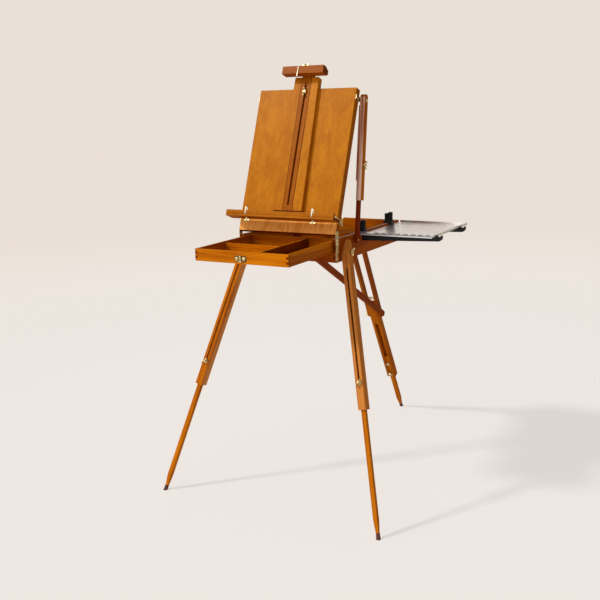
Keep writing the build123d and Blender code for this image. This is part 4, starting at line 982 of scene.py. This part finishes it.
def clamp(points):
    """Clamp over the case's wall: a saddle with two jaws, and a grip of two ribbed lobes.

    A lobe is a turned column whose radius swings with the rib count, crowned at its top.
    """
    low, high = points.min(0), points.max(0)
    depth, y = high[1] - low[1], (low[1] + high[1]) / 2
    wall_low, wall_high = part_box("case_side_right")
    wall_top = wall_high.z
    thickness, space = 0.0068, 0.0002
    saddle = rounded_bar(high[0] - low[0], depth, thickness, 10)
    saddle = put(saddle, (low[0], y, wall_top + space + thickness / 2), UP, ACROSS)
    jaw_top, jaw_gap, inner_width, over_drawer = wall_top + 0.003, 0.0004, 0.0052, 0.0015
    inner_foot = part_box("drawer_side_right")[1].z + over_drawer
    inner = rounded_bar(jaw_top - inner_foot, inner_width, depth, 10)
    inner_x = wall_low.x - jaw_gap - inner_width / 2
    inner = put(inner, (inner_x, y, jaw_top), INWARD, DOWN)
    outer_x = wall_high.x + jaw_gap
    outer = rounded_bar(jaw_top - low[2], high[0] - outer_x, depth, 10)
    outer = put(outer, ((outer_x + high[0]) / 2, y, jaw_top), INWARD, DOWN)
    grip_low, middle_x = wall_top + 0.0055, (low[0] + high[0]) / 2
    level = np.array([0, 0, 0.02, 0.06, 0.45, 0.5, 0.55, 0.88, 0.95, 0.99, 1.0, 1.0])
    size = np.array([0, 0.9, 0.98, 1, 0.97, 0.9, 0.97, 1, 0.97, 0.9, 0.78, 0])
    fluted = np.array([0, 0, 0.4, 1, 1, 0.6, 1, 1, 0.8, 0.3, 0, 0])
    ribs, rib_depth = bpy.context.scene.easel_fittings.rib_count, 0.0014
    lobes = []
    for offset, tall, radius in ((-0.0076, 0.86, 0.0086), (0.0076, 1.0, 0.0092)):
        profile = np.stack([radius * size, (high[2] - grip_low) * tall * level], -1)
        column = turned(profile, 84, ribs, rib_depth, fluted)
        lobes.append(put(column, (middle_x + offset, y, grip_low), UP, ACROSS))
    return joined(saddle, inner, outer, *lobes)


class EASEL_OT_wing_nuts(bpy.types.Operator):
    """Make the wing nuts of the mast, braces, knee and legs, and the legs' round locking nuts"""

    bl_idname = "easel.wing_nuts"
    bl_label = "Wing nuts"

    def execute(self, context):
        forward, upward = lid_directions()
        seated("mast_wing_nut", wing_nut(**MAST_NUT), forward, upward)
        seated("knee_wing_nut", wing_nut(), (-1, 0, 0), SIDE_TURN)
        for hand, way in HANDS.items():
            seated(f"brace_wing_nut_{hand}", wing_nut(), (way, 0, 0), SIDE_TURN)
            seated(f"front_leg_wing_nut_{hand}", wing_nut(), (way, 0, 0), LEG_TURN)
        for hand in HANDS:
            down, front = leg_directions(f"front_leg_channel_{hand}")
            ahead = np.cross(front, down) * 0.8 - down
            seated(f"front_leg_knob_{hand}", wing_nut(**LOCK_NUT), front, ahead)
        return {"FINISHED"}


class EASEL_OT_knobs(bpy.types.Operator):
    """Make the back leg's fluted knob, and the keeper plate with its button"""

    bl_idname = "easel.knobs"
    bl_label = "Knobs"

    def execute(self, context):
        down, front = leg_directions("back_leg_channel")
        across = np.cross(front, down)
        radius = 0.0088
        seated("back_leg_knob", button(radius, radius), front, down)
        keeper = node_points("back_leg_keeper")
        low, high = reach(keeper, front)
        length, width, thickness = 0.022, 0.012, 0.0016
        base = seat(keeper, front)
        corner = base + front * thickness / 2 - across * length / 2
        plate = put(rounded_bar(length, width, thickness, 6), corner, front, across)
        cap = put(button(radius, high - low - thickness), base + front * thickness, front, down)
        piece("back_leg_keeper_fine", joined(plate, cap), "brass", "lower_leg", ["back_leg_keeper"])
        return {"FINISHED"}


def button(radius, height):
    """Round knob on z 0: turned foot, fluted rim and a low crown."""
    flutes, flute_depth = bpy.context.scene.easel_fittings.flute_count, 0.0008
    shares = [
        (0, 0), (0.62, 0), (0.64, 0.2), (0.94, 0.34), (1, 0.40), (1, 0.62), (0.95, 0.72),
        (0.82, 0.84), (0.6, 0.93), (0.3, 0.99), (0, 1),
    ]
    fluted = [0, 0, 0, 0.6, 1, 1, 0.6, 0, 0, 0, 0]
    return turned(np.array(shares) * (radius, height), 96, flutes, flute_depth, fluted)


class EASEL_OT_straps(bpy.types.Operator):
    """Finish the brass bars, straps and bolts, and make their screws and wing nuts"""

    bl_idname = "easel.straps"
    bl_label = "Straps, bolts and blades"

    def execute(self, context):
        for node in ("lid_hinge_bars", "front_leg_bolts", "strut_bracket", "fork_bolts"):
            dress(node, "brass", edge=BRASS_EDGE)
        self.hinge_bar_screws()
        self.lid_fittings()
        self.ledge_fittings()
        self.top_retainer()
        return {"FINISHED"}

    def hinge_bar_screws(self):
        """Three screws up each lid hinge bar, and one at its rounded top.

        The CAD's own flat heads lie under them and stand head_rise off the bar.
        """
        first_screw, pitch, head_rise, first_turn = 0.0128, 0.025, 0.0012, 0.4
        case_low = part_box("case_side_right")[0].z
        bars = islands("lid_hinge_bars")
        for hand, way in HANDS.items():
            bar = next(points for points in bars if way * (points.mean(0)[0] - CASE_X) > 0)
            low, high = bar.min(0), bar.max(0)
            face = CASE_X + way * (np.abs(bar[:, 0] - CASE_X).max() - head_rise)
            middle, radius = (low[1] + high[1]) / 2, (high[1] - low[1]) / 2
            heights = [case_low + first_screw + pitch * index for index in range(3)]
            heights.append(high[2] - radius)
            heads = [
                put(screw_head(first_turn + index), (face, middle, height), (way, 0, 0))
                for index, height in enumerate(heights)
            ]
            piece(f"hinge_bar_screws_{hand}", joined(*heads), "brass", "case")

    def lid_fittings(self):
        """Brace brackets and bolts stay; the side locks' nuts are made again, finer."""
        lock_side, lock_top = 0.15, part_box("lid_panel")[0].z + 0.15
        radius, length, base_height = 0.003, 0.004, 0.0029
        bolt = turned([(0, 0), (radius, 0), (radius, length), (0, length)], 24)
        gone, nuts = [], []
        for points in islands("lid_fittings"):
            offset = points[:, 0].mean() - CASE_X
            if abs(offset) > lock_side and points[:, 2].mean() < lock_top:
                gone.append(around(points))
                outward = np.array([math.copysign(1.0, offset), 0, 0])
                base = seat(points, outward)
                nuts.append(put(bolt, base, outward))
                nuts.append(put(wing_nut(), base + outward * base_height, outward, SIDE_TURN))
        dress("lid_fittings", "brass", edge=BRASS_EDGE, left_out=gone)
        piece("side_lock_nuts", joined(*nuts), "brass", "lid")

    def ledge_fittings(self):
        """Straps stay; the blades and the nuts under the ledge are made again, finer."""
        forward, upward = lid_directions()
        strap_side = 0.18
        gone, nuts, blades = [], [], []
        for points in islands("ledge_fittings"):
            if abs(points[:, 0].mean() - CASE_X) > strap_side:
                continue
            gone.append(around(points))
            if is_strip(points, forward):
                blades.append(put(blade(points, upward), seat(points, upward), upward, ACROSS))
                blades.append(clip_over_lip(points, forward, upward))
            else:
                low_nut = wing_nut(**LEDGE_NUT)
                nuts.append(put(low_nut, seat(points, -upward), -upward, ACROSS))
        dress("ledge_fittings", "brass", edge=BRASS_EDGE, left_out=gone)
        piece("ledge_blades", joined(*blades), "steel", "ledge")
        piece("ledge_nuts", joined(*nuts), "brass", "ledge")

    def top_retainer(self):
        """Blade on the top clamp's front and the wing nut on its top."""
        forward, upward = lid_directions()
        for points in islands("top_retainer"):
            base = seat(points, upward)
            if is_strip(points, forward):
                strip = put(blade(points, upward), base, upward, ACROSS)
                piece("top_blade", strip, "steel", "mast", ["top_retainer"])
            else:
                piece("top_nut", put(wing_nut(), base, upward, ACROSS), "brass", "mast")


def clip_over_lip(points, forward, upward):
    """Front leg of a blade's clip: a flat strip down the ledge's front face, bridged over the lip.

    Its line goes from the blade over the lip and down, with a rounded corner, and it widens on
    the way.
    """
    middle = points.mean(0)
    ledge = node_points("canvas_ledge")
    top = reach(ledge, upward)[1]
    thickness, corner, off_face = 0.0012, 0.002, 0.0008
    depth = reach(ledge, forward)[1] + off_face - middle @ forward
    rise = reach(points, upward)[1] - top
    bend = np.linspace(0, math.pi / 2, 7)
    ahead = np.concatenate([[0, 0], depth - corner + corner * np.sin(bend), [depth] * 3])
    height = np.concatenate([
        [rise - 0.003, rise - 0.002], rise - thickness - corner * (1 - np.cos(bend)),
        [0.002, -0.0145, -0.0155],
    ])
    origin = middle + upward * (top - middle @ upward)
    centres = origin + np.outer(ahead, forward) + np.outer(height, upward)
    way = np.gradient(centres, axis=0)
    way /= np.linalg.norm(way, axis=1, keepdims=True)
    half_width = np.linspace(0.0016, 0.0028, len(centres))
    halves = np.stack([half_width, np.full(len(centres), thickness / 2)], -1)
    halves[0] = halves[-1] = 0
    return lofted(centres, halves, ACROSS, np.cross(way, ACROSS), 5.0, 20)


def blade(points, upward):
    """Flat steel strip standing on z 0, as high as the points reach and rounded at its tip.

    The half width narrows evenly on the way up and follows a quarter ellipse near the tip.
    """
    low, high = reach(points, upward)
    width = points[:, 0].max() - points[:, 0].min()
    way = np.concatenate([[0, 0], np.linspace(0.03, 0.8, 8), np.linspace(0.84, 1, 9)])
    tip, narrowing, half_thickness = rounded_tip(way, 0.84), 0.62 - 0.32 * way, 0.0007
    centres = np.outer(way * (high - low), UP)
    halves = np.stack([width / 2 * tip * narrowing, half_thickness * np.maximum(tip, 0.3)], -1)
    halves[0] = halves[-1] = 0
    return lofted(centres, halves, ACROSS, INWARD, 5.0, 20)


class EASEL_OT_latch(bpy.types.Operator):
    """Make the drawer's latch: a plate, two turned studs and the tongue between them"""

    bl_idname = "easel.latch"
    bl_label = "Drawer latch"

    def execute(self, context):
        low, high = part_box("drawer_latch")
        centre, middle, face = (low.x + high.x) / 2, (low.z + high.z) / 2, high.y
        half, radius = (high.x - low.x) / 2, (high.z - low.z) / 2
        disc = [(0, 0), (radius, 0), (radius, 0.0009), (radius * 0.94, 0.0015), (0, 0.0015)]
        stud = [
            (0, 0), (0.0068, 0), (0.0068, 0.0022), (0.0060, 0.0030), (0.0048, 0.0032),
            (0.0040, 0.0026), (0.0032, 0.0030), (0.0026, 0.0044), (0.0014, 0.0052), (0, 0.0054),
        ]
        plates, raised = [], []
        for way in HANDS.values():
            x = centre + way * (half - radius)
            plates.append(put(turned(disc, 48), (x, face, middle), FRONT, ACROSS))
            stud_base = (x + way * 0.001, face - 0.001, middle)
            raised.append(put(turned(stud, 40), stud_base, FRONT, ACROSS))
        for shapes, bar, start, ahead in (  # the bridge, the tongue and its lip
            (plates, (half * 1.1, 0.011, 0.0016, 6), (-half * 0.55, 0.0008, 0), ACROSS),
            (raised, (radius * 2.05, 0.0078, 0.0046, 4), (0, 0.0034, radius * 1.02), DOWN),
            (raised, (0.012, 0.0034, 0.0028, 3), (-0.006, 0.0048, -radius * 0.8), ACROSS),
        ):
            place = (centre + start[0], face - start[1], middle + start[2])
            shapes.append(put(rounded_bar(*bar), place, FRONT, ahead))
        piece("drawer_latch_fine", joined(*raised), "brass", "drawer", ["drawer_latch"])
        piece("drawer_latch_plate", joined(*plates), "aged brass", "drawer")
        return {"FINISHED"}


class EASEL_OT_feet(bpy.types.Operator):
    """Make the three rubber feet, rounded caps cut flat by the floor"""

    bl_idname = "easel.feet"
    bl_label = "Feet"

    def execute(self, context):
        for node, leg in (
            ("front_foot_left", "front_leg_channel_left"),
            ("front_foot_right", "front_leg_channel_right"),
            ("back_foot", "back_leg_channel"),
        ):
            cap = foot(node_points(node), *leg_directions(leg))
            piece(node + "_fine", cap, "rubber", BODY_OF[node], [node])
        return {"FINISHED"}


def foot(points, down, front):
    """Rubber cap along a leg: superellipse sections with two grip grooves.

    The sections' half width follows the cap's taper less two narrow dips, and points below the
    floor are lifted onto it.
    """
    top = seat(points, down)
    sole, top_half, taper = 0.001, 0.0060, 0.0012
    length = reach(points - top, down)[1] + sole
    way = np.linspace(0, 1, 34)
    half = top_half + taper * way
    groove_depth, groove_width = 0.0007, 0.035
    for groove in (0.30, 0.46):
        half -= groove_depth * np.exp(-(((way - groove) / groove_width) ** 2))
    half *= np.sqrt(1 - np.clip((0.08 - way) / 0.10, 0, 1) ** 2)
    half[0] = 0
    half, way = np.append(half, 0), np.append(way, 1)
    centres = top + np.outer(way, down) * length
    halves = np.stack([half, half], -1)
    cap, faces = lofted(centres, halves, np.cross(front, down), front, 4.0, 32)
    cap[:, 2] = np.maximum(cap[:, 2], 0)
    return cap, faces


class EASEL_OT_stage(bpy.types.Operator):
    """Make the pale floor, the lamps and the camera"""

    bl_idname = "easel.stage"
    bl_label = "Stage"

    def execute(self, context):
        look = context.scene.easel_stage
        self.floor(context.scene, look)
        self.lamps(context.scene, look)
        self.room(context.scene, look)
        self.camera(context.scene, look)
        return {"FINISHED"}

    def floor(self, scene, look):
        """A round floor; far out it turns into the backdrop's colour as the camera sees it."""
        radius = np.array([0, 0.5, 1, 1.5, 2, 3, 4, 6, 9, 14, 22, 40, 80])
        points, faces = turned(np.outer(radius, (1, 0)), 96)
        mesh = bpy.data.meshes.new("floor")
        mesh.from_pydata(points.tolist(), [], faces.tolist())
        clean = merged(mesh)
        clean.to_mesh(mesh)
        clean.free()
        made = bpy.data.objects.new("floor", mesh)
        scene.collection.objects.link(made)
        finish = Finish("floor paint", Roughness=0.75, Specular_IOR_Level=0.15)
        place = finish.place()
        cloud = finish.noise(place, 1.1, 3)
        scuff = finish.noise(finish.scaled(place, (1, 0.4, 1)), 7, 5)
        tone = finish.blend(cloud * 0.5, opaque(look.floor), opaque(look.floor, 0.97))
        tone = finish.blend(finish.step(scuff, 0.62, 0.74) * 0.25, tone, opaque(look.floor, 1.05))
        finish.feed(finish.surface.inputs["Base Color"], tone)
        length = finish.node("ShaderNodeVectorMath", {"operation": "LENGTH"}, {0: place})
        far = Number(finish, length.outputs["Value"])
        seen_tone = finish.blend(
            finish.step(far, 1.0, 7.0), opaque(look.floor_seen), opaque(look.backdrop))
        glow = finish.node("ShaderNodeEmission", None, {"Color": seen_tone})
        camera, glossy, through = finish.seen_rays()
        share = (finish.step(far, 2.2, 6.5) * 0.45 + 0.55) * (camera + glossy + through)
        shown = finish.either(share, finish.surface, glow)
        finish.feed(finish.tree.nodes["Material Output"].inputs["Surface"], shown)
        mesh.materials.append(finish.material)

    def lamps(self, scene, look):
        """A warm main lamp from the front left, and a broad one in front."""
        for name, energy, angle, travel in (
            ("main lamp", look.sun, look.sun_width, MAIN_TRAVEL),
            ("front lamp", look.fill, look.fill_width, FILL_TRAVEL),
        ):
            lamp = bpy.data.lights.new(name, "SUN")
            lamp.energy = energy
            lamp.angle = angle
            lamp.color = (1.0, 0.98, 0.95)
            sun = bpy.data.objects.new(name, lamp)
            scene.collection.objects.link(sun)
            sun.rotation_mode = "QUATERNION"
            sun.rotation_quaternion = Vector(travel).to_track_quat("-Z", "Y")

    def room(self, scene, look):
        """Even light from all round, seen as the backdrop's colour."""
        scene.world = bpy.data.worlds.new("room")
        scene.world.use_nodes = True
        scene.view_settings.view_transform = "Standard"
        nodes = Nodes(scene.world.node_tree)
        even = nodes.tree.nodes["Background"]
        nodes.feed(even.inputs["Color"], (1.0, 0.97, 0.94, 1.0))
        nodes.feed(even.inputs["Strength"], look.ambient)
        backdrop = nodes.node("ShaderNodeBackground", None, {"Color": opaque(look.backdrop)})
        camera, glossy, through = nodes.seen_rays()
        seen = nodes.math("MAXIMUM", nodes.math("MAXIMUM", camera, glossy), through)
        shown = nodes.either(seen, even, backdrop)
        nodes.feed(nodes.tree.nodes["World Output"].inputs["Surface"], shown)

    def camera(self, scene, look):
        """The photograph's camera, from its place, heading, tilt and roll."""
        data = bpy.data.cameras.new("camera")
        data.lens = look.lens
        data.sensor_width = 36
        data.clip_end = 200
        camera = bpy.data.objects.new("camera", data)
        scene.collection.objects.link(camera)
        level = Vector((math.cos(look.heading), math.sin(look.heading), 0))
        ahead = Vector((-level.y, level.x, 0))
        forward = ahead * math.cos(look.tilt) + Vector((0, 0, -math.sin(look.tilt)))
        up = level.cross(forward)
        right = level * math.cos(look.roll) + up * math.sin(look.roll)
        top = up * math.cos(look.roll) - level * math.sin(look.roll)
        place = Vector(look.camera_place) + Vector((CASE_X, CASE_FRONT, 0))
        turn = Matrix((right, top, -forward)).transposed().to_4x4()
        camera.matrix_world = Matrix.Translation(place) @ turn
        scene.camera = camera


class EASEL_PT_panel(bpy.types.Panel):
    """Buttons that make each group of the easel's pieces"""

    bl_idname = "EASEL_PT_panel"
    bl_label = "French easel"
    bl_space_type = "VIEW_3D"
    bl_region_type = "UI"
    bl_category = "Easel"

    def draw(self, context):
        for settings in ("easel_wood", "easel_metal", "easel_fittings", "easel_stage"):
            group = getattr(context.scene, settings)
            box = self.layout.box()
            for name in type(group).__annotations__:
                box.prop(group, name)
        for operator in OPERATORS:
            self.layout.operator(operator.bl_idname)


SETTINGS = {
    "easel_wood": WoodLook,
    "easel_metal": MetalLook,
    "easel_fittings": FittingSizes,
    "easel_stage": StageLook,
}
OPERATORS = (
    EASEL_OT_stage,
    EASEL_OT_case,
    EASEL_OT_drawer,
    EASEL_OT_lid,
    EASEL_OT_braces,
    EASEL_OT_front_legs,
    EASEL_OT_back_leg,
    EASEL_OT_tray,
    EASEL_OT_wing_nuts,
    EASEL_OT_knobs,
    EASEL_OT_straps,
    EASEL_OT_latch,
    EASEL_OT_feet,
)


def register():
    for settings in SETTINGS.values():
        bpy.utils.register_class(settings)
    for name, settings in SETTINGS.items():
        setattr(bpy.types.Scene, name, bpy.props.PointerProperty(type=settings))
    for operator in OPERATORS:
        bpy.utils.register_class(operator)
    bpy.utils.register_class(EASEL_PT_panel)


def unregister():
    bpy.utils.unregister_class(EASEL_PT_panel)
    for operator in reversed(OPERATORS):
        bpy.utils.unregister_class(operator)
    for name, settings in SETTINGS.items():
        delattr(bpy.types.Scene, name)
        bpy.utils.unregister_class(settings)


def main():
    """Makes the whole easel in order."""
    register()
    for operator in OPERATORS:
        group, name = operator.bl_idname.split(".")
        getattr(getattr(bpy.ops, group), name)()


if __name__ == "__main__":
    main()
